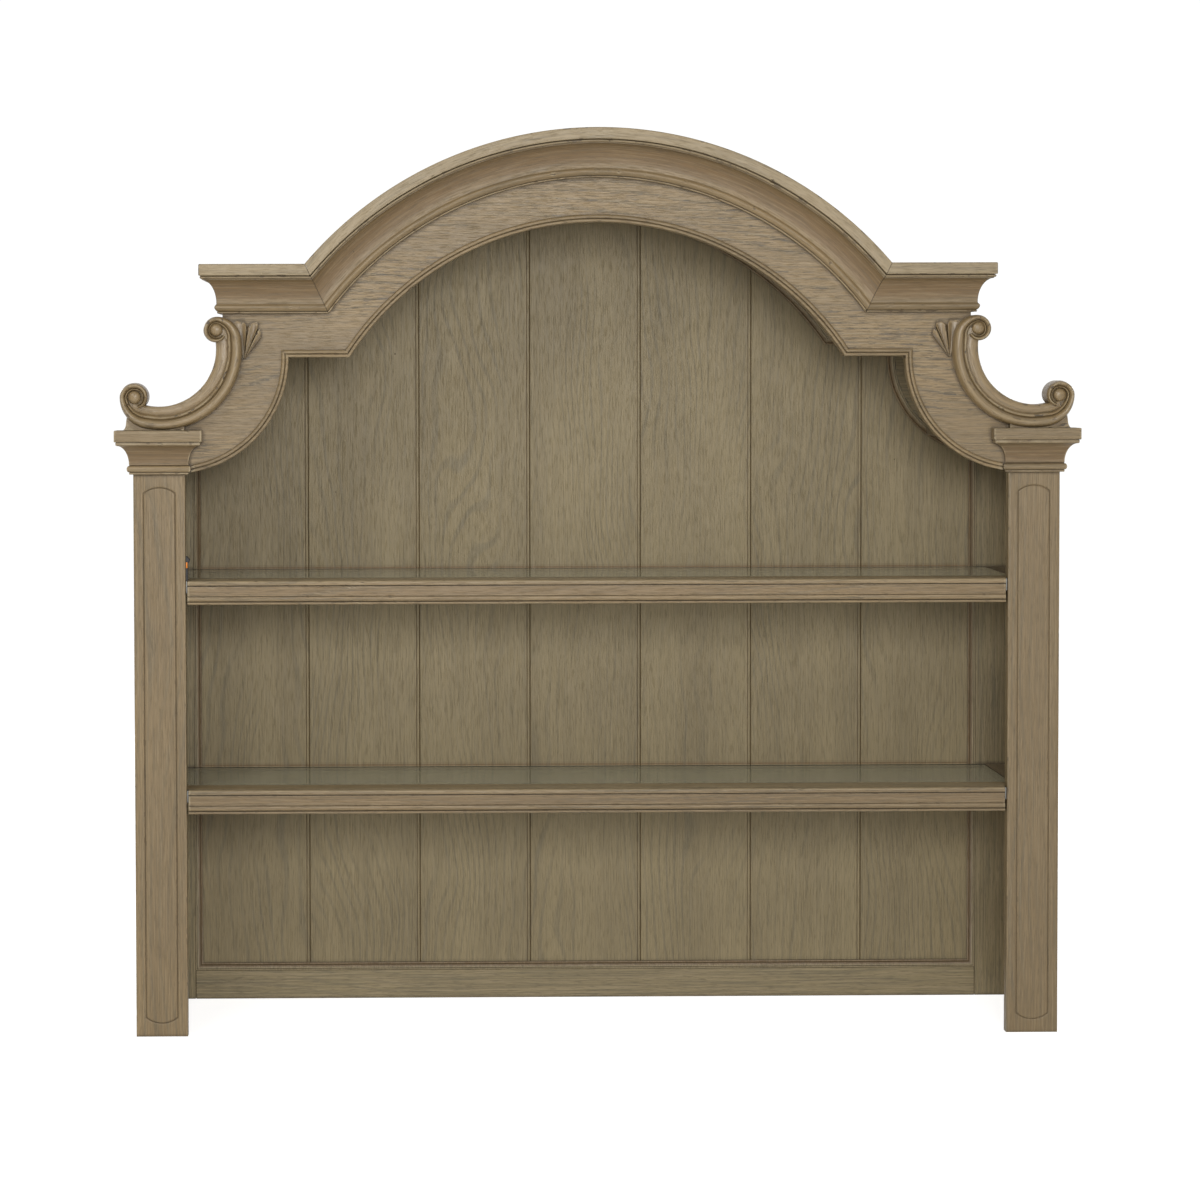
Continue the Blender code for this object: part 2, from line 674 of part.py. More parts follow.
def volute_eye(name, centre):
    """The ball in the middle of a volute."""
    bm = bmesh.new()
    place = Vector((centre[0], FACE_Y - SCROLL_PROUD * EYE_OUT_SHARE, centre[1]))
    flat = Matrix.Translation(place) @ Matrix.Rotation(math.pi / 2, 4, "X")
    bmesh.ops.create_uvsphere(
        bm, u_segments=EYE_SEGMENTS, v_segments=EYE_RINGS, radius=EYE_RADIUS, matrix=flat
    )
    return as_object(name, bm)


def scroll_foot():
    """The block that fills between the scroll and the capital, from the board to a flare outside."""
    low, reach = CAP_TOP + GAP, SCROLL_X + FOOT_REACH
    flare = [
        (reach - FOOT_FLARE * math.sin(a), low + FOOT_HEIGHT * FLARE_SHARE * (1 - math.cos(a)))
        for a in spread(0, math.pi / 2, COVE_STEPS)
    ]
    outline = [(POST_INNER, low)] + flare
    outline += [(reach - FOOT_FLARE * FOOT_TOP_IN_SHARE, low + FOOT_HEIGHT * FOOT_TOP_SHARE)]
    outline += [(SCROLL_X + SCROLL_WIDTH / 2, low + FOOT_HEIGHT), (POST_INNER, low + FOOT_HEIGHT)]
    front = FACE_Y - SCROLL_PROUD * FOOT_OUT_SHARE
    return prism("scroll_foot", outline, front, FACE_BACK_Y + OVERRUN * 3)


def scroll(name):
    """A C-scroll standing on the capital and against the rounded end of the arched board."""
    upper = (SCROLL_X - UPPER_VOLUTE_IN, SCROLL_Z + UPPER_VOLUTE_RISE)
    lower = (SCROLL_X + LOWER_VOLUTE_OUT, SCROLL_Z - LOWER_VOLUTE_DROP)
    front, back = FACE_Y - SCROLL_PROUD * DISC_OUT_SHARE, FACE_BACK_Y + OVERRUN * 4
    upper_radius = UPPER_VOLUTE_RADIUS - UPPER_VOLUTE_WIDTH * DISC_INSET_SHARE
    lower_radius = LOWER_VOLUTE_RADIUS - LOWER_VOLUTE_WIDTH * DISC_INSET_SHARE
    body = scroll_roll()
    body.name = name
    joined = [
        scroll_band(),
        disc("upper_disc", upper, upper_radius, front, back),
        disc("lower_disc", lower, lower_radius, front, back),
        volute_eye("upper_eye", upper),
        volute_eye("lower_eye", lower),
        scroll_foot(),
    ]
    radius = SCROLL_X - UPPER_HALF_WIDTH - GAP
    end_x = POST_INNER
    low = math.pi + math.acos((SCROLL_X - end_x) / radius)
    seat = arc((SCROLL_X, SCROLL_Z), radius, math.pi, low, QUARTER_STEPS)
    far_x = SCROLL_X - SCROLL_RADIUS * 2
    high = SCROLL_Z + SCROLL_RADIUS
    seat = [(seat[0][0], high)] + seat + [(end_x, CAP_TOP - OVERRUN)]
    seat += [(far_x, CAP_TOP - OVERRUN), (far_x, high)]
    board_cutter = prism("board_cutter", seat, FACE_Y - GAP, FACE_BACK_Y + OVERRUN * 6)
    reach = SCROLL_RADIUS + OVERRUN
    back_cutter = board(
        "back_cutter",
        (SCROLL_X - reach, FACE_BACK_Y, SCROLL_Z - reach),
        (SCROLL_X + reach, FACE_BACK_Y + OVERRUN * 7, SCROLL_Z + reach),
        ease=0,
    )
    return combined(body, joined, [board_cutter, back_cutter])


def leaf_lobe(name, tip, width):
    """One lobe of the leaf, as a ridge from its root to its tip."""
    root = Vector((LEAF_X, LEAF_Z))
    tip = Vector(tip)
    along = (tip - root).normalized()
    side = Vector((along[1], -along[0]))
    station_shares = ((0, 0.3, 0.7), (0.2, 0.83, 0.86), (0.42, 1, 0.97), (0.64, 0.87, 1))
    station_shares += ((0.84, 0.58, 0.94), (1, 0.15, 0.84))
    section_shares = ((-1, 0), (-0.75, 0.55), (0, 1), (0.75, 0.55), (1, 0))
    rings = []
    for length, breadth, height in station_shares:
        middle = root.lerp(tip, length)
        ring = []
        for across, out in section_shares:
            point = middle + side * (width / 2 * breadth * across)
            ring.append((point[0], FACE_Y - GAP - LEAF_PROUD * height * out, point[1]))
        rings.append(ring)
    return skin(name, rings)


def leaf(name):
    """A carved leaf of three lobes that open beside the scroll."""
    lobe_shares = ((0.142, 1, 0.86), (-0.22, 0.95, 1), (-0.351, 0.62, 0.95))
    lobes = []
    for i, (across, up, breadth) in enumerate(lobe_shares):
        tip = (LEAF_X + LEAF_HEIGHT * across, LEAF_Z + LEAF_HEIGHT * up)
        lobes.append(leaf_lobe(f"lobe_{i}", tip, LEAF_WIDTH * breadth))
    lobes[1].name = name
    return combined(lobes[1], [lobes[0], lobes[2]])


def side_panel(name):
    """The side of the carcase, behind the post and under the deck."""
    high = CAP_TOP - DECK_THICK - GAP
    return board(name, (SIDE_INNER, FACE_BACK_Y + GAP, 0), (HALF_FACE, BACK_Y, high))


def deck(name):
    """The board that closes the top of the side, notched round the back frame."""
    front = FACE_BACK_Y + GAP
    notch = BACK_FRONT_Y - GAP
    outline = [(UPPER_INNER, front), (HALF_FACE, front), (HALF_FACE, BACK_Y)]
    outline += [(SIDE_INNER, BACK_Y), (SIDE_INNER, notch), (UPPER_INNER, notch)]
    heights = (CAP_TOP - DECK_THICK, CAP_TOP)
    return skin(name, [[(x, y, z) for x, y in outline] for z in heights])


def upper_side(name):
    """The side of the upper part, from the deck to the roof."""
    low = (UPPER_INNER, FACE_BACK_Y + GAP, CAP_TOP + GAP)
    high = (UPPER_HALF_WIDTH, BACK_Y, CROWN_SHOULDER - ROOF_UNDERSIDE_DROP - GAP)
    return board(name, low, high)


def roof_arch():
    """The bent board that closes the arch, from the crown to the back."""
    outer, inner = crown_corner(ROOF_DROP), crown_corner(ROOF_UNDERSIDE_DROP)
    rings = []
    outer_angle = math.atan2(outer[1] - CROWN_CENTRE_Z, outer[0])
    inner_angle = math.atan2(inner[1] - CROWN_CENTRE_Z, inner[0])
    for share in spread(0, 1, ARCH_STEPS):
        ring = []
        for drop, end in ((ROOF_DROP, outer_angle), (ROOF_UNDERSIDE_DROP, inner_angle)):
            angle = math.pi - end + (2 * end - math.pi) * share
            radius = CROWN_RADIUS - drop
            ring.append((radius * math.cos(angle), CROWN_CENTRE_Z + radius * math.sin(angle)))
        (x, z), (inner_x, inner_z) = ring
        rings.append(
            [(x, FACE_Y, z), (x, BACK_Y, z), (inner_x, BACK_Y, inner_z), (inner_x, FACE_Y, inner_z)]
        )
    return skin("roof_arch", rings)


def shoulder_roof(name):
    """The level board beside the bent one, mitred to it."""
    outer, inner = crown_corner(ROOF_DROP), crown_corner(ROOF_UNDERSIDE_DROP)
    outline = [
        (outer[0] + GAP, outer[1]),
        (UPPER_HALF_WIDTH, outer[1]),
        (UPPER_HALF_WIDTH, inner[1]),
        (inner[0] + GAP, inner[1]),
    ]
    return prism(name, outline, FACE_Y, BACK_Y)


def back_stile(name):
    """An upright of the back frame."""
    low = (BACK_HALF_OPENING + BACK_BEAD_WIDTH, BACK_FRONT_Y, 0)
    return board(name, low, (SIDE_INNER - GAP, BACK_Y, CAP_TOP))


def back_bottom_rail():
    half = BACK_HALF_OPENING + BACK_BEAD_WIDTH - GAP
    high = (half, BACK_Y, BACK_RAIL_TOP - BACK_BEAD_WIDTH)
    return board("back_bottom_rail", (-half, BACK_FRONT_Y, 0), high)


def back_arch_rail():
    """The shaped top of the back frame, which follows the opening in front of it."""
    end_x = BACK_HALF_OPENING + BACK_BEAD_WIDTH - GAP
    edge = opening(BACK_REVEAL + BACK_BEAD_WIDTH, end_x)
    top = crown_line(ROOF_UNDERSIDE_DROP + GAP, UPPER_INNER - GAP)
    outline = edge + [(end_x, CAP_TOP), (UPPER_INNER - GAP, CAP_TOP)] + top[::-1]
    outline += [(GAP - UPPER_INNER, CAP_TOP), (-end_x, CAP_TOP)]
    return prism("back_arch_rail", outline, BACK_FRONT_Y, BACK_Y)


def back_moulding():
    """One moulding round the inside of the back frame, in front of the planks."""
    section_shares = ((1, 0), (1, 0.95), (0, 0.95), (0, 0.6), (0.2, 0.5), (0.5, 0.32), (0.74, 0.2))
    section_shares += ((0.8, 0),)
    loops = []
    for across, depth in section_shares:
        offset = (BACK_BEAD_WIDTH - GAP) * across
        half = BACK_HALF_OPENING + offset
        low = BACK_RAIL_TOP - offset
        y = BACK_FRONT_Y + PLANK_RECESS * depth
        path = [(-half, low)] + opening(BACK_REVEAL + offset, half) + [(half, low)]
        loops.append([(x, y, z) for x, z in path])
    return skin("back_moulding", list(zip(*loops)), closed=True)


def height_at(path, x):
    """Height of a path where it first reaches x."""
    for (start, low), (end, high) in zip(path, path[1:]):
        if start <= x <= end:
            return low + (high - low) * (x - start) / (end - start)
    raise ValueError(f"the path doesn't reach {x}")


def back_plank(number):
    """A plank of the back, cut at the top to the shape of the frame, its long edges chamfered."""
    frame_edge = BACK_HALF_OPENING + BACK_BEAD_WIDTH - GAP
    edge = frame_edge - GAP
    joint = (number - PLANK_COUNT / 2) * PLANK_PITCH
    start = joint + GAP / 2 if number > 0 else -edge
    end = joint + PLANK_PITCH - GAP / 2 if number < PLANK_COUNT - 1 else edge
    path = opening(BACK_REVEAL + BACK_BEAD_WIDTH - GAP, frame_edge)
    low = BACK_RAIL_TOP - BACK_BEAD_WIDTH + GAP
    outline = [(start, low), (start, height_at(path, start))]
    outline += [point for point in path if start < point[0] < end]
    outline += [(end, height_at(path, end)), (end, low)]
    plank = prism(f"back_plank_{number + 1}", outline, PLANK_Y, PLANK_Y + PLANK_THICK)
    bm = bmesh.new()
    bm.from_mesh(plank.data)
    sides = [
        line
        for line in bm.edges
        if all(point.co.y < PLANK_Y + GAP for point in line.verts)
        and any(all(abs(point.co.x - x) < GAP / 2 for point in line.verts) for x in (start, end))
    ]
    bmesh.ops.bevel(bm, geom=sides, offset=PLANK_CHAMFER, segments=1, affect="EDGES")
    bpy.data.objects.remove(plank)
    return as_object(f"back_plank_{number + 1}", bm)


def shelf_lip(name, top):
    """The moulded front edge of a shelf."""
    field = LIP_BAND_HEIGHT + LIP_FIELD_HEIGHT
    foot = LIP_HEIGHT - LIP_FOOT_HEIGHT
    section = [(0, LIP_DEPTH), (0, LIP_ROUND), (LIP_QUIRK, LIP_QUIRK), (LIP_ROUND, 0)]
    section += [(LIP_BAND_HEIGHT - LIP_SINK, 0), (LIP_BAND_HEIGHT - LIP_QUIRK, LIP_SINK)]
    section += [(LIP_BAND_HEIGHT + LIP_QUIRK, LIP_SINK)]
    section += [(down, LIP_SINK - out) for down, out in half_round(field, foot, LIP_SINK, 0, ROLL_STEPS)]
    section += [(foot + LIP_QUIRK, LIP_SINK), (foot + LIP_QUIRK * 2, LIP_QUIRK)]
    section += [(LIP_HEIGHT - LIP_QUIRK, 0), (LIP_HEIGHT, LIP_QUIRK), (LIP_HEIGHT, LIP_DEPTH)]
    ends = (-LIP_HALF_WIDTH, LIP_HALF_WIDTH)
    return skin(name, [[(x, LIP_Y + deep, top - down) for down, deep in section] for x in ends])


def shelf_board(name, top):
    """The board behind the lip, rebated for the front edge of the glass."""
    half = SIDE_INNER - GAP
    body = board(name, (-half, SHELF_Y, top - SHELF_THICK), (half, SHELF_BACK_Y, top))
    reach = GLASS_HALF_WIDTH + GLASS_CLEARANCE
    rebate = board(
        "rebate",
        (-reach, SHELF_BACK_Y - GLASS_LEDGE, top - GLASS_THICK - GAP),
        (reach, SHELF_BACK_Y + OVERRUN, top + OVERRUN),
        ease=0,
    )
    return combined(body, cut=[rebate])


def side_rail(name, top):
    """The rail along the side that carries the end of the glass, rebated for it."""
    outer = SIDE_INNER - GAP
    wall = outer - SIDE_RAIL_WIDTH
    ledge = wall - GLASS_LEDGE
    bed = top - GLASS_THICK - GAP
    outline = [(outer, top), (outer, top - SHELF_THICK), (ledge, top - SHELF_THICK)]
    outline += [(ledge, bed), (wall, bed), (wall, top)]
    return prism(name, outline, SHELF_BACK_Y + GAP, BACK_FRONT_Y - GAP)


def glass_pane(name, top):
    """A loose pane in the rebates of its shelf."""
    front = SHELF_BACK_Y - GLASS_LEDGE + GLASS_CLEARANCE
    low = (-GLASS_HALF_WIDTH, front, top - GLASS_THICK)
    high = (GLASS_HALF_WIDTH, BACK_FRONT_Y - GLASS_CLEARANCE, top)
    return board(name, low, high, ease=GLASS_ARRIS)


def cleat(name, top):
    """The strip under a side rail, fixed to the side."""
    under = top - SHELF_THICK - GAP
    low = (SIDE_INNER - GAP - CLEAT_WIDTH, SHELF_Y + CLEAT_MARGIN, under - CLEAT_HEIGHT)
    return board(name, low, (SIDE_INNER - GAP, BACK_FRONT_Y - CLEAT_MARGIN, under))


def end_plate(name, top):
    """The steel plate between the post and the end of a lip."""
    x = POST_INNER - GAP
    high = top - PLATE_DROP
    front = LIP_Y + (LIP_DEPTH - PLATE_DEPTH) / 2
    low = (x - PLATE_THICK, front, high - PLATE_HEIGHT)
    return board(name, low, (x, front + PLATE_DEPTH, high), ease=PLATE_EASE)


def clip():
    """The small black clip on the inner face of the left post."""
    x = GAP - POST_INNER
    low = SHELF_TOPS["upper"] + GAP
    front = FACE_Y + CLIP_SET_BACK
    high = low + CLIP_HEIGHT
    out = x + CLIP_THICK
    flange_low, flange_high = (low + CLIP_HEIGHT * share for share in CLIP_FLANGE_SHARES)
    outline = [(x, low), (out, low), (out, flange_low), (x + CLIP_FLANGE_OUT, flange_high)]
    outline += [(x + CLIP_THICK / 2, high), (x, high)]
    return prism("black_clip", outline, front, front + CLIP_DEPTH)


def clip_button():
    """The orange button on the front of the clip."""
    middle_x = GAP - POST_INNER + CLIP_THICK / 2
    middle_z = SHELF_TOPS["upper"] + CLIP_HEIGHT * BUTTON_RISE_SHARE
    back = FACE_Y + CLIP_SET_BACK - GAP
    low = (middle_x - BUTTON_WIDTH / 2, back - BUTTON_PROUD, middle_z - BUTTON_HEIGHT / 2)
    high = (middle_x + BUTTON_WIDTH / 2, back, middle_z + BUTTON_HEIGHT / 2)
    return board("clip_button", low, high, ease=BUTTON_EASE)


def build():
    for old in list(bpy.data.objects):
        bpy.data.objects.remove(old)
    pair("post", post, OAK)
    pair("capital", capital, OAK)
    finish(arch_board(), OAK)
    finish(arch_reeds(), OAK_LIGHT)
    finish(crown_arch(), OAK_LIGHT)
    pair("crown_shoulder", crown_shoulder, OAK_LIGHT)
    pair("crown_return", crown_return, OAK_LIGHT)
    pair("scroll", scroll, OAK)
    pair("leaf", leaf, OAK)
    pair("side_panel", side_panel, OAK)
    pair("deck", deck, OAK_INSIDE)
    pair("upper_side", upper_side, OAK)
    finish(roof_arch(), OAK_INSIDE)
    pair("shoulder_roof", shoulder_roof, OAK_INSIDE)
    pair("back_stile", back_stile, OAK_DARK)
    finish(back_bottom_rail(), OAK_DARK)
    finish(back_arch_rail(), OAK_DARK)
    finish(back_moulding(), OAK_DARK)
    for number in range(PLANK_COUNT):
        finish(back_plank(number), OAK_DARK)
    for level, top in SHELF_TOPS.items():
        finish(shelf_lip(f"{level}_shelf_lip", top), OAK)
        finish(shelf_board(f"{level}_shelf_board", top), OAK)
        finish(glass_pane(f"{level}_glass", top), GLASS, roughness=0.04, alpha=0.3)
        pair(f"{level}_shelf_rail", lambda name: side_rail(name, top), OAK_INSIDE)
        pair(f"{level}_cleat", lambda name: cleat(name, top), OAK_INSIDE)
        pair(f"{level}_end_plate", lambda name: end_plate(name, top), STEEL, roughness=0.35, metallic=1.0)
    finish(clip(), BLACK, roughness=0.4)
    finish(clip_button(), ORANGE, roughness=0.35)


build()
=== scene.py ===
"""Arched hutch top in weathered oak with glass shelves: the finished surfaces over its CAD frame.

Metres, +Z up, the front facing -Y."""

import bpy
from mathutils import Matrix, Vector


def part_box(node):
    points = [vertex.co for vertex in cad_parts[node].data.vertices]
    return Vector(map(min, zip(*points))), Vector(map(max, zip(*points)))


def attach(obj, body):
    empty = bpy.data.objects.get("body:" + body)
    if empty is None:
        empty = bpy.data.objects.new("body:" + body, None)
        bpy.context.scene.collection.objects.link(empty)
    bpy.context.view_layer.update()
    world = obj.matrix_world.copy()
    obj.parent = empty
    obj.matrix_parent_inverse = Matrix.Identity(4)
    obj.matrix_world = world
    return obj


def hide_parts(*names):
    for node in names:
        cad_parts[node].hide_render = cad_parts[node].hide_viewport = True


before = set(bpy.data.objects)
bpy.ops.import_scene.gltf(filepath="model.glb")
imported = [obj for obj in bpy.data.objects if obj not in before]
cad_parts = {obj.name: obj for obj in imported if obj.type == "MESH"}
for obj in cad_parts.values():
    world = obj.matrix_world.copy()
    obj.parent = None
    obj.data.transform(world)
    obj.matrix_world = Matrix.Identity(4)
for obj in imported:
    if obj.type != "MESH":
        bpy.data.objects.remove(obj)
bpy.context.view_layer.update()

import math

import bmesh
import bpy
import numpy as np
from bpy.props import FloatProperty, FloatVectorProperty, PointerProperty
from mathutils import Matrix, Vector, noise

bl_info = {
    "name": "Arched Hutch Top",
    "version": (1, 0, 0),
    "blender": (4, 5, 0),
    "location": "3D View > Sidebar > Hutch",
    "description": "Dresses the CAD frame of an arched hutch top in carved and weathered oak",
    "category": "Add Mesh",
}

FRAME_BODY = "hutch_frame"
LEVELS = ("lower", "upper")
# Each side, and whether its meshes are the right-hand ones turned over.
SIDES = (("right", False), ("left", True))
# The seam between two pieces.
GAP = 0.0003
FACE_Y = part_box("arch_board")[0].y
FACE_BACK_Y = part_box("arch_board")[1].y
POST_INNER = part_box("right_post")[0].x
HALF_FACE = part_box("right_post")[1].x
POST_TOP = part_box("right_post")[1].z
CAP_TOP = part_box("right_capital")[1].z
BACK_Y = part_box("right_side_panel")[1].y
BACK_FRONT_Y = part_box("right_back_stile")[0].y
UPPER_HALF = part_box("right_upper_side")[1].x


def size(name, description, default):
    return FloatProperty(name=name, description=description, default=default, unit="LENGTH", precision=4)


def power(name, description, default):
    return FloatProperty(
        name=name, description=description, default=default, min=0.0, unit="POWER"
    )


def share(name, description, default):
    return FloatProperty(
        name=name, description=description, default=default, min=0.0, max=1.0, subtype="FACTOR"
    )


def colour(name, description, default):
    return FloatVectorProperty(
        name=name, description=description, default=default, size=3, min=0.0, max=1.0, subtype="COLOR"
    )


class HutchCrown(bpy.types.PropertyGroup):
    half_chord: size("Half chord", "From the middle to where the arch meets a shoulder", 0.479)
    apex: size("Apex", "Height of the top of the arch", 1.494)
    shoulder: size("Shoulder", "Height of the top of the shoulders", 1.273)
    band: size("Band height", "Plain band along the top", 0.019)
    band_out: size("Band projection", "How far the band stands out from the board", 0.037)
    bead: size("Bead height", "Bead under the band", 0.0056)
    bead_out: size("Bead projection", "How far that bead stands out", 0.0350)
    cove: size("Cove height", "Hollow between the bead and the roll", 0.0407)
    cove_out: size("Cove projection", "How far the top of the cove stands out", 0.0322)
    neck_out: size("Neck projection", "How far the bottom of the cove stands out", 0.0092)
    roll: size("Roll height", "Nose under the cove", 0.0122)
    roll_out: size("Roll projection", "How far the roll stands out", 0.0125)
    foot: size("Foot height", "Fillet under the roll", 0.0025)
    foot_out: size("Foot projection", "How far the fillet stands out", 0.0085)


class HutchOpening(bpy.types.PropertyGroup):
    apex: size("Apex", "Height of the top of the opening", 1.3416)
    step: size("Step", "Height of the level step at each side of the arch", 1.121)
    half_chord: size("Half chord", "From the middle to the end of the arch", 0.4068)
    quarter_x: size("Quarter centre", "Distance of each quarter round's centre from the middle", 0.697)
    quarter_radius: size("Quarter radius", "Radius of the rounds that run down to the posts", 0.1905)
    reed_width: size("Reed width", "Width of the two reeds together", 0.0122)
    reed_proud: size("Reed height", "How far the reeds stand out from the board", 0.0032)


class HutchPosts(bpy.types.PropertyGroup):
    line_margin: size("Line margin", "From the post's edge to the routed line", 0.0165)
    line_width: size("Line width", "Width of the routed line", 0.0019)
    line_depth: size("Line depth", "Depth of the routed line", 0.0013)
    line_top: size("Top margin", "From the post's top to the routed line", 0.0215)
    line_bottom: size("Bottom margin", "From the post's foot to the routed line", 0.0225)
    line_rise: size("Arch rise", "Rise of the arch at each end of the line", 0.0095)
    cap_foot: size("Capital foot height", "Fillet at the foot of the capital", 0.0035)
    cap_foot_out: size("Capital foot projection", "How far it stands out", 0.0062)
    cap_roll: size("Capital roll height", "Roll over the fillet", 0.011)
    cap_roll_out: size("Capital roll projection", "How far it stands out", 0.0098)
    cap_cove: size("Capital cove height", "Hollow of the capital", 0.0335)
    cap_fillet: size("Capital fillet height", "Fillet under the plate", 0.0055)
    cap_fillet_out: size("Capital fillet projection", "How far it stands out", 0.0265)
    cap_plate_out: size("Capital plate projection", "How far the top plate stands out", 0.029)


class HutchScroll(bpy.types.PropertyGroup):
    centre_x: size("Centre distance", "Distance of the big curve's centre from the middle", 0.7151)
    radius: size("Radius", "Outer radius of the big curve", 0.1325)
    width: size("Roll width", "Width of the thick roll and the thin bead together", 0.0255)
    proud: size("Thickness", "How far the roll stands out from the board", 0.024)
    hollow_radius: size("Hollow radius", "Radius of the open side of the curve", 0.0949)
    hollow_x: size("Hollow shift", "How far the hollow's centre lies outward", 0.0049)
    hollow_z: size("Hollow rise", "How far the hollow's centre lies upward", 0.0008)
    upper_in: size("Upper volute in", "From the centre to the upper volute, inward", 0.0916)
    upper_rise: size("Upper volute up", "From the centre to the upper volute, upward", 0.031)
    upper_radius: size("Upper volute radius", "Outer radius of the upper volute", 0.022)
    upper_width: size("Upper roll width", "Width of the roll at the upper volute", 0.0125)
    lower_out: size("Lower volute out", "From the centre to the lower volute, outward", 0.0439)
    lower_drop: size("Lower volute down", "From the centre to the lower volute, downward", 0.079)
    lower_radius: size("Lower volute radius", "Outer radius of the lower volute", 0.024)
    lower_width: size("Lower roll width", "Width of the roll at the lower volute", 0.0135)
    end_width: size("End width", "Width of the roll where it ends at the eye", 0.0062)
    eye: size("Eye radius", "Radius of the ball in each volute", 0.0108)
    foot_reach: size("Foot reach", "How far the foot reaches outward from the centre", 0.0635)
    foot_flare: size("Foot flare", "How far the foot widens where it meets the capital", 0.0062)
    foot_height: size("Foot height", "Height of the flared part", 0.0195)
    leaf_x: size("Leaf distance", "Distance of the leaf's root from the middle", 0.5792)
    leaf_z: size("Leaf height", "Height of the leaf's root above the floor", 1.1165)
    leaf_proud: size("Leaf thickness", "How far the leaf stands out from the board", 0.0058)


class HutchBack(bpy.types.PropertyGroup):
    half_opening: size("Half width", "From the middle to the edge of the back frame", 0.6705)
    reveal: size("Reveal", "How much larger the back frame is than the opening in front", 0.021)
    rail_top: size("Rail height", "Top of the bottom rail with its moulding", 0.0625)
    bead: size("Moulding width", "Width of the moulding round the planks", 0.0125)
    recess: size("Recess", "How far the planks lie behind the frame", 0.007)
    chamfer: size("Chamfer", "Chamfer along the planks' edges", 0.0012)
    quirk: size("Quirk", "From a plank's joint to the fine groove beside it", 0.0050)
    screw: size("Screw head", "Diameter of the screw heads on the back", 0.0072)


class HutchShelves(bpy.types.PropertyGroup):
    band: size("Band height", "Rounded band along the top of a lip", 0.008)
    field: size("Field height", "Sunk flat of a lip", 0.0185)
    foot: size("Foot height", "Small bead along the foot of a lip", 0.0045)
    sink: size("Sink", "Depth of the sunk flat", 0.0014)
    arris: size("Glass arris", "Polished edge of a pane", 0.0016)
    # The dark strip is painted shadow, for the gap between the pane's rear edge and the planks.
    rear_line: size("Rear line", "Dark strip at a pane's back edge", 0.016)


class HutchOak(bpy.types.PropertyGroup):
    light: colour("Light oak", "Lighter tone of the face frame", (0.290, 0.199, 0.093))
    dark: colour("Dark oak", "Darker tone of the face frame", (0.214, 0.147, 0.068))
    # The cove tone also paints shade: in the coves, in the back moulding's hollow and along the panes' rear
    # edges.
    cove: colour("Coves", "Browner tone in the hollows of the mouldings", (0.164, 0.095, 0.033))
    back_light: colour("Light plank", "Lighter tone of the back", (0.292, 0.229, 0.116))
    back_dark: colour("Dark plank", "Darker tone of the back", (0.242, 0.188, 0.094))
    inside_light: colour("Light inside", "Lighter tone of the hidden boards", (0.235, 0.180, 0.112))
    inside_dark: colour("Dark inside", "Darker tone of the hidden boards", (0.165, 0.124, 0.078))
    streak: colour("Streaks", "Grey-green glaze left in the open grain", (0.128, 0.112, 0.072))
    pore: colour("Pores", "Glaze in the fine pores", (0.085, 0.066, 0.042))
    glaze: colour("Glaze", "Dark glaze left in grooves and corners", (0.050, 0.033, 0.017))
    # The rubbed tone also paints highlights: on the lips' crests and, as the shelf boards' lighter tone, on
    # their tops.
    rubbed: colour("Rubbed edges", "Tone where the edges are rubbed through", (0.440, 0.350, 0.212))


class HutchFittings(bpy.types.PropertyGroup):
    # Painted reflection: the panes' tint is a plank colour, shown where a pane turns nearly opaque at a
    # slant, for the planks reflected in it and seen through it.
    glass: colour("Glass", "Tint of the panes", (0.460, 0.455, 0.330))
    glass_edge: colour("Glass edge", "Tint of a pane's polished edge", (0.035, 0.110, 0.080))
    # Painted shadow: the tint of the strip at a pane's rear, for the shadow in the gap behind the glass and
    # its reflection.
    rear_shadow: colour("Glass rear", "Dark line where a pane meets its rail", (0.060, 0.048, 0.026))
    clear: share("Clearness", "How much light passes a pane seen square on", 0.80)
    steel: colour("Steel", "Plates and screws", (0.165, 0.163, 0.153))
    clip: colour("Clip", "Moulded clip", (0.012, 0.011, 0.010))
    button: colour("Button", "Button on the clip", (0.930, 0.270, 0.008))


class HutchStage(bpy.types.PropertyGroup):
    floor: colour("Floor", "Pale floor", (0.80, 0.80, 0.80))
    floor_size: size("Floor size", "Radius of the floor", 14.0)
    key: power("Key light", "Large soft light before the front", 98.0)
    fill: power("Fill light", "Soft light from above on the left", 27.0)
    rear: power("Rear lights", "Soft light behind, on both sides", 32.0)
    room: FloatProperty(name="Room light", description="Even light from all round", default=0.24, min=0.0)
    lens: FloatProperty(name="Lens", description="Focal length", default=95.65, min=1.0, unit="CAMERA")


def settings(context):
    return context.scene.hutch


class HutchSettings(bpy.types.PropertyGroup):
    crown: PointerProperty(type=HutchCrown)
    opening: PointerProperty(type=HutchOpening)
    posts: PointerProperty(type=HutchPosts)
    scroll: PointerProperty(type=HutchScroll)
    back: PointerProperty(type=HutchBack)
    shelves: PointerProperty(type=HutchShelves)
    oak: PointerProperty(type=HutchOak)
    fittings: PointerProperty(type=HutchFittings)
    stage: PointerProperty(type=HutchStage)


class Signal:
    """A socket of a node tree. Arithmetic on it adds Math nodes."""

    def __init__(self, surface, socket):
        self.surface = surface
        self.socket = socket

    def maths(self, operation, first, second):
        return self.surface.node("Math", {"operation": operation}, {0: first, 1: second})

    def __add__(self, other):
        return self.maths("ADD", self, other)

    def __sub__(self, other):
        return self.maths("SUBTRACT", self, other)

    def __rsub__(self, other):
        return self.maths("SUBTRACT", other, self)

    def __mul__(self, other):
        return self.maths("MULTIPLY", self, other)

    __radd__ = __add__
    __rmul__ = __mul__


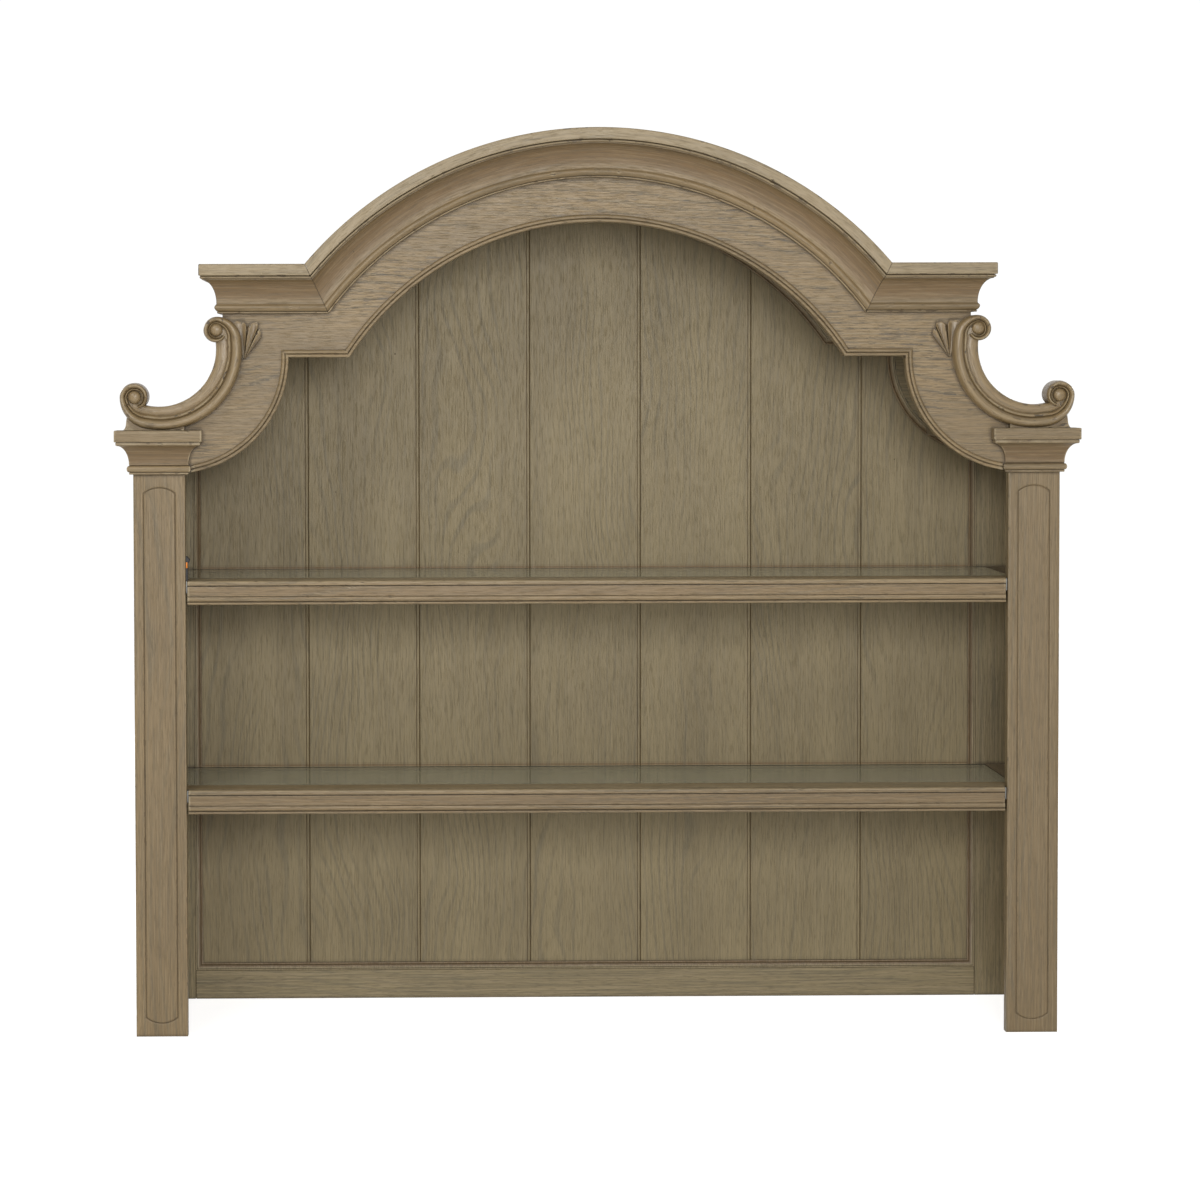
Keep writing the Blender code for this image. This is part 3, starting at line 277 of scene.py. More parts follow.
class Surface:
    """The node tree of a material or of the world. Every node comes from its node method."""

    def __init__(self, owner):
        owner.use_nodes = True
        self.owner = owner
        self.tree = owner.node_tree
        self.tree.nodes.clear()

    def node(self, kind, options=None, values=None, output=0):
        made = self.tree.nodes.new(f"ShaderNode{kind}")
        for option, value in (options or {}).items():
            setattr(made, option, value)
        for socket, value in (values or {}).items():
            target = made.inputs[socket]
            if isinstance(value, Signal):
                self.tree.links.new(value.socket, target)
            else:
                target.default_value = value
        return Signal(self, made.outputs[output]) if made.outputs else None

    def blend(self, factor, first, second):
        """From the first colour to the second."""
        options = {"data_type": "RGBA", "blend_type": "MIX", "clamp_factor": True}
        return self.node("Mix", options, {0: factor, 6: first, 7: second}, output=2)

    def rise(self, value, low, high):
        """0 below low, 1 above high, and smooth between them."""
        options = {"interpolation_type": "SMOOTHSTEP"}
        return self.node("MapRange", options, {"Value": value, "From Min": low, "From Max": high})

    def clouds(self, place, scale, detail=3.0, roughness=0.55, distortion=0.0):
        """Smooth noise with so many cells per metre along each of the place's three directions."""
        place = self.node("VectorMath", {"operation": "MULTIPLY"}, {0: place, 1: scale})
        values = {"Vector": place, "Scale": 1.0, "Detail": detail, "Roughness": roughness}
        values["Distortion"] = distortion
        return self.node("TexNoise", {"noise_dimensions": "3D"}, values)

    def either(self, first, second):
        return self.node("Math", {"operation": "MAXIMUM"}, {0: first, 1: second})

    def attribute(self, name, output="Fac"):
        return self.node("Attribute", {"attribute_name": name}, output=output)

    def place(self):
        return self.node("TexCoord", output="Object")

    def bump(self, height, strength, distance):
        return self.node("Bump", values={"Strength": strength, "Distance": distance, "Height": height})

    def background_ray(self):
        """1 where the background is seen straight, in a reflection or through glass."""
        camera, glossy, through = (
            self.node("LightPath", output=f"Is {kind} Ray") for kind in ("Camera", "Glossy", "Transmission")
        )
        return self.either(camera, self.either(glossy, through))

    def finish(self, values):
        shader = self.node("BsdfPrincipled", values=values)
        self.node("OutputMaterial", values={"Surface": shader})
        return self.owner


# The grain's axes: along it, across it, through it.
GRAIN_ORDER = {"x": (0, 2, 1), "y": (1, 0, 2), "z": (2, 0, 1)}
# Noise in the oak: cells per metre along, across and through the grain, detail, roughness, distortion.
OAK_NOISE = {
    "drift": ((1.6, 11.0, 11.0), 3.0, 0.55, 0.0),
    "bend": ((1.1, 5.0, 5.0), 2.0, 0.4, 0.0),
    "patch": ((2.2, 11.0, 11.0), 2.0, 0.55, 0.0),
    "fibre": ((7.0, 380.0, 380.0), 3.0, 0.7, 0.35),
    "pore": ((42.0, 620.0, 620.0), 2.0, 0.6, 0.0),
    "streak": ((28.0, 380.0, 380.0), 3.0, 0.6, 1.3),
    "smudge": ((28.0, 34.0, 34.0), 3.0, 0.6, 0.0),
    "chip": ((60.0, 130.0, 130.0), 2.0, 0.55, 0.0),
}
# Where a pattern, or a measure of the shape, starts to show and where it shows in full.
OAK_STEPS = {
    "drift": (0.34, 0.66),
    "patch": (0.42, 0.62),
    "ring": (0.66, 1.0),
    "pale_fibre": (0.46, 0.66),
    "dark_fibre": (0.34, 0.52),
    "pore": (0.52, 0.66),
    "streak": (0.525, 0.565),
    "open_sky": (0.42, 0.86),
    "hollow": (0.10, 0.42),
    "edge": (0.14, 0.45),
    "rubbing": (0.36, 0.62),
    "chip_edge": (0.10, 0.30),
    "chip": (0.60, 0.64),
    "speck": (0.014, 0.034),
    "chosen": (0.86, 0.87),
    "shade": (0.0, 1.0),
}
RING_BEND = 95.0
RINGS_ACROSS = 430.0
SPECKS_PER_METRE = 21.0
CORNER_REACH = 0.0065
GRAIN_BUMP, GRAIN_DEPTH = 0.45, 0.0006

PLAIN_OAK = {
    "figure": 0.5, "streaks": 0.5, "fibres": 0.5, "rubbed": 0.6,
    "roughness": 0.5, "glazing": 0.9, "fine": 1.0, "curl": 1.0,
}
POST_OAK = {"figure": 0.3, "streaks": 0.3, "fibres": 0.3, "fine": 1.3}
CAPITAL_OAK = {"figure": 0.15, "streaks": 0.3, "fibres": 0.3}
CROWN_OAK = {"figure": 0.12, "streaks": 0.3, "fibres": 0.3, "rubbed": 0.75, "glazing": 0.75}
CARVED_OAK = {"figure": 0.2, "streaks": 0.4, "fibres": 0.3, "rubbed": 0.9, "roughness": 0.36, "fine": 1.3}
PLANK_OAK = {
    "figure": 0.36, "streaks": 0.2, "fibres": 0.24, "rubbed": 0.1,
    "roughness": 0.56, "glazing": 0.6, "fine": 1.5, "curl": 1.8,
}
MOULDING_OAK = {"figure": 0.1, "streaks": 0.3, "fibres": 0.3, "rubbed": 0.3, "glazing": 0.6}
LIP_OAK = {"figure": 0.25, "streaks": 0.45, "fibres": 0.34, "rubbed": 0.6, "glazing": 1.0, "fine": 1.3}
# PAINTED_SHADE_TONES takes the darker oak tone twice, as painted shade on the right-hand pieces.
FACE_TONES, PAINTED_SHADE_TONES, CARVED_TONES = ("light", "dark"), ("dark", "dark"), ("light", "light")
BACK_TONES, INSIDE_TONES = ("back_light", "back_dark"), ("inside_light", "inside_dark")
# Finishes: two tones, the way the grain runs ("made" where the mesh stores it), and what isn't plain.
OAKS = {
    "arch_board": (FACE_TONES, "x", {"figure": 0.4, "streaks": 1.0, "fibres": 0.32, "fine": 1.25}),
    "upright": (FACE_TONES, "z", {"figure": 0.3, "streaks": 0.35}),
    # Painted light: the shelf boards take the rubbed tone as their lighter tone, so their level tops look
    # lit from above.
    "shelf": (("rubbed", "light"), "x", {"figure": 0.3, "streaks": 0.4, "glazing": 0.5}),
    "inside": (INSIDE_TONES, "y", {"figure": 0.3, "streaks": 0.3, "roughness": 0.6}),
    "back_stile": (BACK_TONES, "z", {"figure": 0.3, "streaks": 0.2}),
    "back_rail": (BACK_TONES, "x", {"figure": 0.3, "streaks": 0.35}),
    # Painted shade: the right post and capital take the darker tone twice, as the light falling off towards
    # the right. The posts' routed lines are glazed differently, deeper on the left, to paint how the light
    # shows the two grooves.
    "right_post": (PAINTED_SHADE_TONES, "made", {**POST_OAK, "glazing": 0.4}),
    "left_post": (FACE_TONES, "made", {**POST_OAK, "glazing": 0.65}),
    "right_capital": (PAINTED_SHADE_TONES, "made", CAPITAL_OAK),
    "left_capital": (FACE_TONES, "made", CAPITAL_OAK),
    "crown": (FACE_TONES, "made", CROWN_OAK),
    # Painted shade: the right crown shoulder and return take the darker tone twice, as the light falling
    # off towards the right.
    "right_crown": (PAINTED_SHADE_TONES, "made", CROWN_OAK),
    "reed": (FACE_TONES, "made", {"figure": 0.1, "streaks": 0.3, "fibres": 0.3, "rubbed": 0.7}),
    "carved": (CARVED_TONES, "made", {**CARVED_OAK, "glazing": 0.34}),
    "leaf": (CARVED_TONES, "made", {**CARVED_OAK, "glazing": 0.85}),
    "plank": (BACK_TONES, "made", PLANK_OAK),
    "back_moulding": (BACK_TONES, "made", MOULDING_OAK),
    "lip": (FACE_TONES, "made", LIP_OAK),
}


def grain_place(surface, direction):
    """Coordinates as (along the grain, across it, through it), in metres."""
    if direction == "made":
        return surface.attribute("grain", "Vector")
    place = surface.place()
    parts = [surface.node("SeparateXYZ", values={0: place}, output=axis) for axis in GRAIN_ORDER[direction]]
    return surface.node("CombineXYZ", values=dict(enumerate(parts)))


def oak(context, name):
    """Weathered oak: two tones, growth rings, fibres, pores, glaze in the hollows and rubbed edges, with
    painted shade and painted highlights from the shade attribute.
    """
    palette = settings(context).oak
    tones, direction, changes = OAKS[name]
    light, dark = ((*getattr(palette, tone), 1.0) for tone in tones)
    finish = {**PLAIN_OAK, **changes}
    fibres, rubbed = finish["fibres"], finish["rubbed"]
    surface = Surface(bpy.data.materials.new(f"{name}_oak"))
    place = grain_place(surface, direction)

    def clouds(pattern, along=1.0, across=1.0):
        scale, detail, roughness, distortion = OAK_NOISE[pattern]
        scale = (scale[0] * along, scale[1] * across, scale[2] * across)
        return surface.clouds(place, scale, detail, roughness, distortion)

    def step(name, value):
        return surface.rise(value, *OAK_STEPS[name])

    fine = finish["fine"]
    patch = step("patch", clouds("patch"))
    across = surface.node("SeparateXYZ", values={0: place}, output="Y")
    angle = clouds("bend", along=finish["curl"]) * RING_BEND + across * RINGS_ACROSS
    ring = step("ring", surface.node("Math", {"operation": "SINE"}, {0: angle}) * 0.5 + 0.5)
    fibre = clouds("fibre", fine, fine)
    pore = step("pore", clouds("pore"))
    streak = step("streak", clouds("streak")) * (ring * 0.4 + 0.6) * (patch * 0.65 + 0.35)
    hollow, proud, shade = (surface.attribute(measure) for measure in ("hollow", "proud", "shade"))
    open_sky = surface.node("AmbientOcclusion", {"samples": 2}, {"Distance": CORNER_REACH}, "AO")
    smudge = clouds("smudge")
    glaze = surface.either(step("hollow", hollow), 1.0 - step("open_sky", open_sky)) * (smudge * 0.6 + 0.55)
    edge = step("edge", proud) * step("rubbing", smudge)
    chip = step("chip_edge", proud) * step("chip", clouds("chip"))
    dots = {"Vector": place, "Scale": SPECKS_PER_METRE}
    from_dot, chance = (
        surface.node("TexVoronoi", {"feature": "F1"}, dots, output) for output in ("Distance", "Color")
    )
    chosen = step("chosen", surface.node("SeparateColor", values={0: chance}, output="Red"))
    dot = (1.0 - step("speck", from_dot)) * chosen
    speck = surface.either(dot, chip * min(1.0, rubbed * rubbed * 1.6))

    tone = surface.blend(step("drift", clouds("drift")), dark, light)
    # The shade attribute paints: above 0 towards the cove colour, for glaze in joints and sunk flats and
    # for painted shade in coves, in the back moulding's hollow and along the panes' rear edges; below 0
    # towards the rubbed colour, for rubbed wear and for a painted highlight on the lips' crests.
    for amount, layer in (
        (step("shade", shade) * 0.9, "cove"),
        (step("shade", 0.0 - shade) * 0.55, "rubbed"),
        (ring * (patch * 0.7 + 0.3) * finish["figure"], "streak"),
        (step("pale_fibre", fibre) * (fibres * 0.75), "rubbed"),
        ((1.0 - step("dark_fibre", fibre)) * fibres, "streak"),
        (streak * (finish["streaks"] * 0.9), "pore"),
        (pore * (0.5 * fibres + 0.12), "pore"),
        (edge * rubbed, "rubbed"),
        (glaze * finish["glazing"], "glaze"),
        (speck * 0.85, "glaze"),
    ):
        tone = surface.blend(amount, tone, (*getattr(palette, layer), 1.0))

    depth = fibre * 0.35 - pore * 0.5 - streak * 0.4 - speck * 1.4
    gloss = smudge * 0.16 + pore * 0.15 + glaze * 0.12 + (finish["roughness"] - 0.12)
    normal = surface.bump(depth, GRAIN_BUMP, GRAIN_DEPTH)
    return surface.finish({"Base Color": tone, "Roughness": gloss, "Normal": normal})


def pane_glass(context):
    """Pale green float glass: clear square on, and darker and greener at its polished edges. Its tint
    paints the planks reflected in it and seen through it, and a dark strip at its rear paints the shadow in
    the gap behind it.
    """
    fittings = settings(context).fittings
    surface = Surface(bpy.data.materials.new("pane_glass"))
    rim, rear = surface.attribute("proud"), surface.attribute("shade")
    place = surface.place()
    dust = surface.clouds(place, (6.0, 6.0, 6.0), 4.0, 0.6)
    tint = surface.blend(rim, (*fittings.glass, 1.0), (*fittings.glass_edge, 1.0))
    # Painted shadow: the strip at the pane's rear turns dark and almost opaque.
    tint = surface.blend(rear, tint, (*fittings.rear_shadow, 1.0))
    # Painted reflection: at a slant the pane turns nearly opaque in its plank-coloured tint.
    facing = surface.node("LayerWeight", values={"Blend": 0.30}, output="Facing")
    edges = surface.either(rim, rear)
    body = surface.either(facing * facing * 1.05 + (1.0 - fittings.clear), edges * 0.92)
    gloss = surface.rise(dust, 0.45, 0.75) * 0.03 + 0.012 + edges * 0.5
    ripple = surface.bump(surface.clouds(place, (5.0, 5.0, 5.0), 0.0), 0.02, 0.0002)
    return surface.finish({"Base Color": tint, "Roughness": gloss, "Normal": ripple, "Alpha": body})


def plain_metal(name, tone, roughness, metallic=1.0):
    """Brushed metal or moulded plastic with fine scratches and a little dirt in the corners."""
    surface = Surface(bpy.data.materials.new(name))
    place = surface.place()
    brush = surface.clouds(place, (260.0, 260.0, 2600.0), 3.0, 0.7)
    dirt_and_shadow = surface.clouds(place, (120.0, 120.0, 120.0), 3.0, 0.6)
    dirty = (*(0.5 * part for part in tone), 1.0)
    worn = (*(min(1.0, part * 1.6 + 0.012) for part in tone), 1.0)
    shade = surface.blend(surface.rise(dirt_and_shadow, 0.45, 0.75) * 0.4, (*tone, 1.0), dirty)
    shade = surface.blend(surface.rise(surface.attribute("proud"), 0.2, 0.6) * 0.25, shade, worn)
    gloss = brush * 0.2 + dirt_and_shadow * 0.12 + (roughness - 0.14)
    normal = surface.bump(brush, 0.12, 0.0002)
    return surface.finish({"Base Color": shade, "Roughness": gloss, "Normal": normal, "Metallic": metallic})


def spread(first, last, steps):
    """Evenly spaced values from first to last, both included."""
    return [first + (last - first) * i / steps for i in range(steps + 1)]


def arc(centre, radius, first, last, steps):
    angles = spread(first, last, steps)
    return [(centre[0] + radius * math.cos(a), centre[1] + radius * math.sin(a)) for a in angles]


def ring_of(centre, radius, y, steps):
    """A closed ring of points that faces the front."""
    return [(x, y, z) for x, z in arc(centre, radius, 0, math.tau, steps)[:-1]]


def stations(steps, margin):
    """Shares of a piece's length, with one more close to each end, which keeps wear away from joints."""
    return [0.0, margin] + spread(0, 1, steps)[1:-1] + [1 - margin, 1.0]


def unit(angle):
    return Vector((math.cos(angle), math.sin(angle)))


def skin(rings, closed=False):
    """A bmesh through rings of points. Its ends are capped unless the rings close on themselves."""
    bm = bmesh.new()
    rows = [[bm.verts.new(point) for point in ring] for ring in rings]
    total = len(rows[0])
    for row, after in zip(rows, rows[1:] + rows[:1] if closed else rows[1:]):
        for i in range(total):
            j = (i + 1) % total
            bm.faces.new((row[i], row[j], after[j], after[i]))
    if not closed:
        bm.faces.new(rows[0])
        bm.faces.new(rows[-1])
    bmesh.ops.recalc_face_normals(bm, faces=bm.faces)
    if bm.calc_volume(signed=True) < 0:
        bmesh.ops.reverse_faces(bm, faces=bm.faces)
    return bm


def mesh_of(name, *shells, mirrored=False):
    """One mesh from several bmeshes, which are used up, turned over to the left side if mirrored."""
    whole = bmesh.new()
    for shell in shells:
        loose = bpy.data.meshes.new("loose")
        shell.to_mesh(loose)
        shell.free()
        whole.from_mesh(loose)
        bpy.data.meshes.remove(loose)
    if mirrored:
        bmesh.ops.scale(whole, vec=(-1, 1, 1), verts=whole.verts)
        bmesh.ops.reverse_faces(whole, faces=whole.faces)
    mesh = bpy.data.meshes.new(name)
    whole.to_mesh(mesh)
    whole.free()
    return mesh


def points_of(mesh, layer, key):
    values = np.empty(len(mesh.vertices) * 3)
    layer.foreach_get(key, values)
    return values.reshape(-1, 3)


def relief(mesh):
    """How hollow and how proud the surface is at each vertex, both from 0 to 1."""
    places = points_of(mesh, mesh.vertices, "co")
    normals = points_of(mesh, mesh.vertices, "normal")
    ends = np.empty(len(mesh.edges) * 2, int)
    mesh.edges.foreach_get("vertices", ends)
    ends = ends.reshape(-1, 2)
    along = places[ends[:, 1]] - places[ends[:, 0]]
    along /= np.maximum(np.linalg.norm(along, axis=1, keepdims=True), 1e-9)
    rising = np.concatenate([(along * normals[ends[:, 0]]).sum(1), -(along * normals[ends[:, 1]]).sum(1)])
    owner = np.concatenate([ends[:, 0], ends[:, 1]])
    hollow, proud = np.zeros(len(places)), np.zeros(len(places))
    np.maximum.at(hollow, owner, rising)
    np.maximum.at(proud, owner, -rising)
    return hollow.clip(0, 1), proud.clip(0, 1)


# Nicks: noise cells per metre, fine and coarse, and how the noise turns into depth.
NICK_CELLS, NICK_COARSE_CELLS, NICK_COARSE_SHARE = 115.0, 17.0, 0.35
NICK_START, NICK_GAIN, NICK_PROUD = 0.42, 2.4, 0.12


def knock(mesh, depth):
    """Nicks the proud edges, from smooth noise."""
    if not depth:
        return
    _, proud = relief(mesh)
    places = points_of(mesh, mesh.vertices, "co")
    normals = points_of(mesh, mesh.vertices, "normal")
    for i, (place, normal) in enumerate(zip(places, normals)):
        if proud[i] > NICK_PROUD:
            coarse = NICK_COARSE_SHARE * noise.noise(Vector(place) * NICK_COARSE_CELLS)
            nick = noise.noise(Vector(place) * NICK_CELLS) + coarse
            places[i] -= normal * max(0.0, nick - NICK_START) * depth * NICK_GAIN
    mesh.vertices.foreach_set("co", places.ravel())
    mesh.update()


def store(mesh, name, kind, values):
    layer = mesh.attributes.new(name, kind, "POINT")
    key = "vector" if kind == "FLOAT_VECTOR" else "value"
    layer.data.foreach_set(key, np.asarray(values, float).ravel())


def grain_of(places, direction):
    """Each point as (along the grain, across it, through it)."""
    if callable(direction):
        return np.array([direction(place) for place in places])
    return places[:, GRAIN_ORDER[direction]]


# How far the grain is moved on from one board to the next.
BOARD_STEP = np.array((2.37, 0.83, 0.41))
# How hollow a joint counts as, for the glaze that it holds.
SEAM_HOLLOW = 0.45


def piece(
    name, mesh, material, nodes, direction="x", board=0, nicks=0.0, body=FRAME_BODY, smooth=38,
    shade=None, seam=0, rear=None,
):
    """Finishes a mesh as a piece that stands for CAD nodes and rides on their body. Its first and last
    seam vertices are a joint, which holds glaze, and nothing beyond rear is worn."""
    mesh.name = name
    mesh.shade_smooth()
    mesh.set_sharp_from_angle(angle=math.radians(smooth))
    knock(mesh, nicks)
    hollow, proud = relief(mesh)
    if seam:
        for ends in (slice(0, seam), slice(len(proud) - seam, None)):
            hollow[ends], proud[ends] = SEAM_HOLLOW, 0.0
    places = points_of(mesh, mesh.vertices, "co")
    if rear is not None:
        proud[places[:, 1] > rear] = 0.0
    store(mesh, "hollow", "FLOAT", hollow)
    store(mesh, "proud", "FLOAT", proud)
    if shade:
        store(mesh, "shade", "FLOAT", [shade(place) for place in places])
    store(mesh, "grain", "FLOAT_VECTOR", grain_of(places, direction) + BOARD_STEP * board)
    mesh.materials.append(material)
    obj = bpy.data.objects.new(name, mesh)
    bpy.context.scene.collection.objects.link(obj)
    if nodes:
        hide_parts(*nodes)
    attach(obj, body)


def turned(first, last, base, crest, steps):
    """A half round between two places, rising from base to crest, as (place, height) points."""
    middle, half = (first + last) / 2, (last - first) / 2
    angles = spread(0, math.pi, steps)
    return [(middle - half * math.cos(a), base + (crest - base) * math.sin(a)) for a in angles]


def rounded(corner, before, after, steps=3):
    """Points that round a corner of a profile between two points near it."""
    corner, before, after = Vector(corner), Vector(before), Vector(after)
    return [tuple(before.lerp(corner, t).lerp(corner.lerp(after, t), t)) for t in spread(0, 1, steps)]


def eased(down, out, ease, back=False):
    """The rounded corner of a profile where it turns from out to down or, if back, from down to back."""
    if back:
        return rounded((down, out), (down - ease, out), (down, out - ease))
    return rounded((down, out), (down, out - ease), (down + ease, out))


def centre_and_radius(half_chord, low, high):
    """Height of the centre, and radius, of the arc over a chord."""
    rise = high - low
    radius = (half_chord**2 + rise**2) / (2 * rise)
    return high - radius, radius


# Distance between points along the opening's edge, and length of the level between two curves.
OPENING_STEP, BACK_OPENING_STEP, LEVEL_LENGTH = 0.006, 0.009, 0.1


def opening_path(opening, offset, end_x, step=OPENING_STEP):
    """Edge of the arched opening, grown by offset, from the left to the right, ending at end_x."""
    quarter = opening.quarter_radius - offset
    low = math.acos((opening.quarter_x - end_x) / quarter)
    high = -math.asin(offset / quarter)
    right = [
        (opening.quarter_x - quarter * math.cos(a), opening.step - quarter * math.sin(a))
        for a in spread(high, low, round(opening.quarter_radius / step))
    ]
    centre, radius = centre_and_radius(opening.half_chord, opening.step, opening.apex)
    steps = round(radius * 2 / step)
    radius += offset
    corner = math.asin((opening.step + offset - centre) / radius)
    middle = arc((0, centre), radius, math.pi - corner, corner, steps)
    level = round(LEVEL_LENGTH / step)
    inner, outer = Vector(middle[-1]), Vector(right[0])
    shelf = [tuple(inner.lerp(outer, i / level)) for i in range(1, level)]
    right = shelf + right
    return [(-x, z) for x, z in reversed(right)] + middle + right


def crown_profile(crown):
    """Crown section as (distance below the top, distance out), from the top of its back to the foot."""
    bead = crown.band
    cove = bead + crown.bead
    neck = cove + crown.cove
    roll_end = neck + crown.roll
    total = roll_end + crown.foot
    ease, fine, foot_ease, quirk = 0.0022, 0.0016, 0.0012, 0.0005
    points = [(0, 0), (0, 0.003), (0, crown.band_out - 0.012)]
    points += eased(0, crown.band_out, ease)
    points += [(0.0075, crown.band_out), (0.0125, crown.band_out)]
    points += eased(bead, crown.band_out, fine, back=True)
    points += [(bead, crown.cove_out + quirk), (bead + 0.0003, crown.cove_out - quirk)]
    points += turned(bead + quirk, cove - quirk, crown.cove_out, crown.bead_out, 7)
    points += [(cove - 0.0002, crown.cove_out - quirk), (cove + 0.0003, crown.cove_out - quirk)]
    span = crown.cove_out - crown.neck_out
    points += [
        (cove + 0.0008 + (crown.cove - 0.0026) * (1 - math.cos(a)), crown.cove_out - span * math.sin(a))
        for a in spread(0.02, math.pi / 2, 15)
    ]
    start = (neck + 0.0009, crown.neck_out + 0.0012)
    nose = (neck + crown.roll * 0.42, crown.roll_out * 2 - (start[1] + crown.foot_out) / 2)
    points += rounded((neck, crown.neck_out), (neck - 0.0012, crown.neck_out), start, 4)[:-1]
    points += rounded(nose, start, (roll_end - quirk, crown.foot_out - quirk), 8)
    points += [(roll_end - 0.0001, crown.foot_out - quirk * 3), (roll_end + quirk, crown.foot_out)]
    points += eased(total, crown.foot_out, foot_ease, back=True)
    return points + [(total, 0)]


BEAD_RUBBED = -0.4
# Share of the cove's height, from its top, that holds glaze and painted shade.
COVE_GLAZE_AND_SHADE = 0.86


def crown_shade(crown, drop):
    """-1 on the rubbed band, less on the bead, and up to 1 in the cove, as glaze and as painted shade under
    the band.
    """
    cove = crown.band + crown.bead
    if drop < cove:
        return -1.0 if drop < crown.band + 0.0001 else BEAD_RUBBED
    depth = (drop - cove) / crown.cove
    return max(0.0, math.sin(math.pi * min(1.0, depth * 1.15)) ** 0.5) if depth < COVE_GLAZE_AND_SHADE else 0.0


def crown_corner(crown, drop):
    """Where the arch meets the right shoulder, at a distance below the top line."""
    centre, radius = centre_and_radius(crown.half_chord, crown.shoulder, crown.apex)
    z = crown.shoulder - drop
    return Vector((math.sqrt((radius - drop) ** 2 - (z - centre) ** 2), z))


def crown_arch(crown):
    centre, full = centre_and_radius(crown.half_chord, crown.shoulder, crown.apex)
    profile = crown_profile(crown)
    outer = crown_corner(crown, 0)
    along = (crown_corner(crown, profile[-1][0]) - outer).normalized()
    outer = outer - Vector((-along[1], along[0])) * GAP / 2
    start = outer - Vector((0, centre))
    ends = []
    for drop, _ in profile:
        reach = start.dot(along)
        far = -reach - math.sqrt(reach**2 - start.length_squared + (full - drop) ** 2)
        meeting = start + along * far
        ends.append(math.atan2(meeting[1], meeting[0]))
    rings = []
    for t in stations(420, 0.0006):
        ring = []
        for (drop, out), end in zip(profile, ends):
            angle = math.pi - end + (2 * end - math.pi) * t
            x, z = (full - drop) * math.cos(angle), centre + (full - drop) * math.sin(angle)
            ring.append((x, FACE_Y - GAP - out, z))
        rings.append(ring)
    return skin(rings)


def crown_shoulder(crown):
    profile = crown_profile(crown)
    outer, inner = crown_corner(crown, 0), crown_corner(crown, profile[-1][0])
    slope = (inner[0] - outer[0]) / (inner[1] - outer[1])
    near, far = [], []
    for drop, out in profile:
        y, z = FACE_Y - GAP - out, crown.shoulder - drop
        near.append(Vector((outer[0] - drop * slope + GAP, y, z)))
        far.append(Vector((UPPER_HALF + out, y, z)))
    return skin([[a.lerp(b, t) for a, b in zip(near, far)] for t in stations(60, 0.006)])


def crown_return(crown):
    front = [
        Vector((UPPER_HALF + GAP + out, FACE_Y - out + GAP, crown.shoulder - drop))
        for drop, out in crown_profile(crown)
    ]
    back = [Vector((point.x, BACK_Y, point.z)) for point in front]
    return skin([[a.lerp(b, t) for a, b in zip(front, back)] for t in stations(110, 0.004)])


# Quads across a post and up it.
POST_STEPS, POST_TALL_STEPS = 12, 190


def post_shell(posts):
    """A post as nested loops, from its back edge, over the eased arris, into and out of the routed line."""
    middle, half = (POST_INNER + HALF_FACE) / 2, (HALF_FACE - POST_INNER) / 2
    line_low, line_high = posts.line_bottom, POST_TOP - posts.line_top

    def block(inset, y):
        left, right = middle - half + inset, middle + half - inset
        low, high = inset, POST_TOP - inset
        path = [(x, high) for x in spread(right, left, POST_STEPS)]
        path += [(left, z) for z in spread(high, low, POST_TALL_STEPS)[1:-1]]
        path += [(x, low) for x in spread(left, right, POST_STEPS)]
        path += [(right, z) for z in spread(low, high, POST_TALL_STEPS)[1:-1]]
        return [(x, y, z) for x, z in path]

    def line(inset, y):
        wide = half - posts.line_margin - inset
        top_z, radius = centre_and_radius(wide, line_high - posts.line_rise - inset, line_high - inset)
        angle = math.acos(wide / radius)
        top = arc((middle, top_z), radius, angle, math.pi - angle, POST_STEPS)
        bottom = [(2 * middle - x, line_low + line_high - z) for x, z in top]
        falling = spread(top[-1][1], bottom[0][1], POST_TALL_STEPS)[1:-1]
        rising = spread(bottom[-1][1], top[0][1], POST_TALL_STEPS)[1:-1]
        path = top + [(middle - wide, z) for z in falling] + bottom + [(middle + wide, z) for z in rising]
        return [(x, y, z) for x, z in path]

    ease, width = 0.0016, posts.line_width / 2
    rings = [block(0.0008, FACE_BACK_Y), block(0, FACE_BACK_Y - 0.0008), block(0, FACE_Y + 0.006)]
    rings += [block(0, FACE_Y + ease), block(ease * 0.3, FACE_Y + ease * 0.3), block(ease, FACE_Y)]
    rings.append(block(0.0045, FACE_Y))
    for across, depth in ((-3.2, 0), (-1.5, 0), (-1, 0.0003), (-0.35, posts.line_depth)):
        rings.append(line(width * across, FACE_Y + depth))
    for across, depth in ((0.35, posts.line_depth), (1, 0.0003), (1.5, 0), (3.2, 0)):
        rings.append(line(width * across, FACE_Y + depth))
    rings.append(line(half * 0.36, FACE_Y))
    return skin(rings)


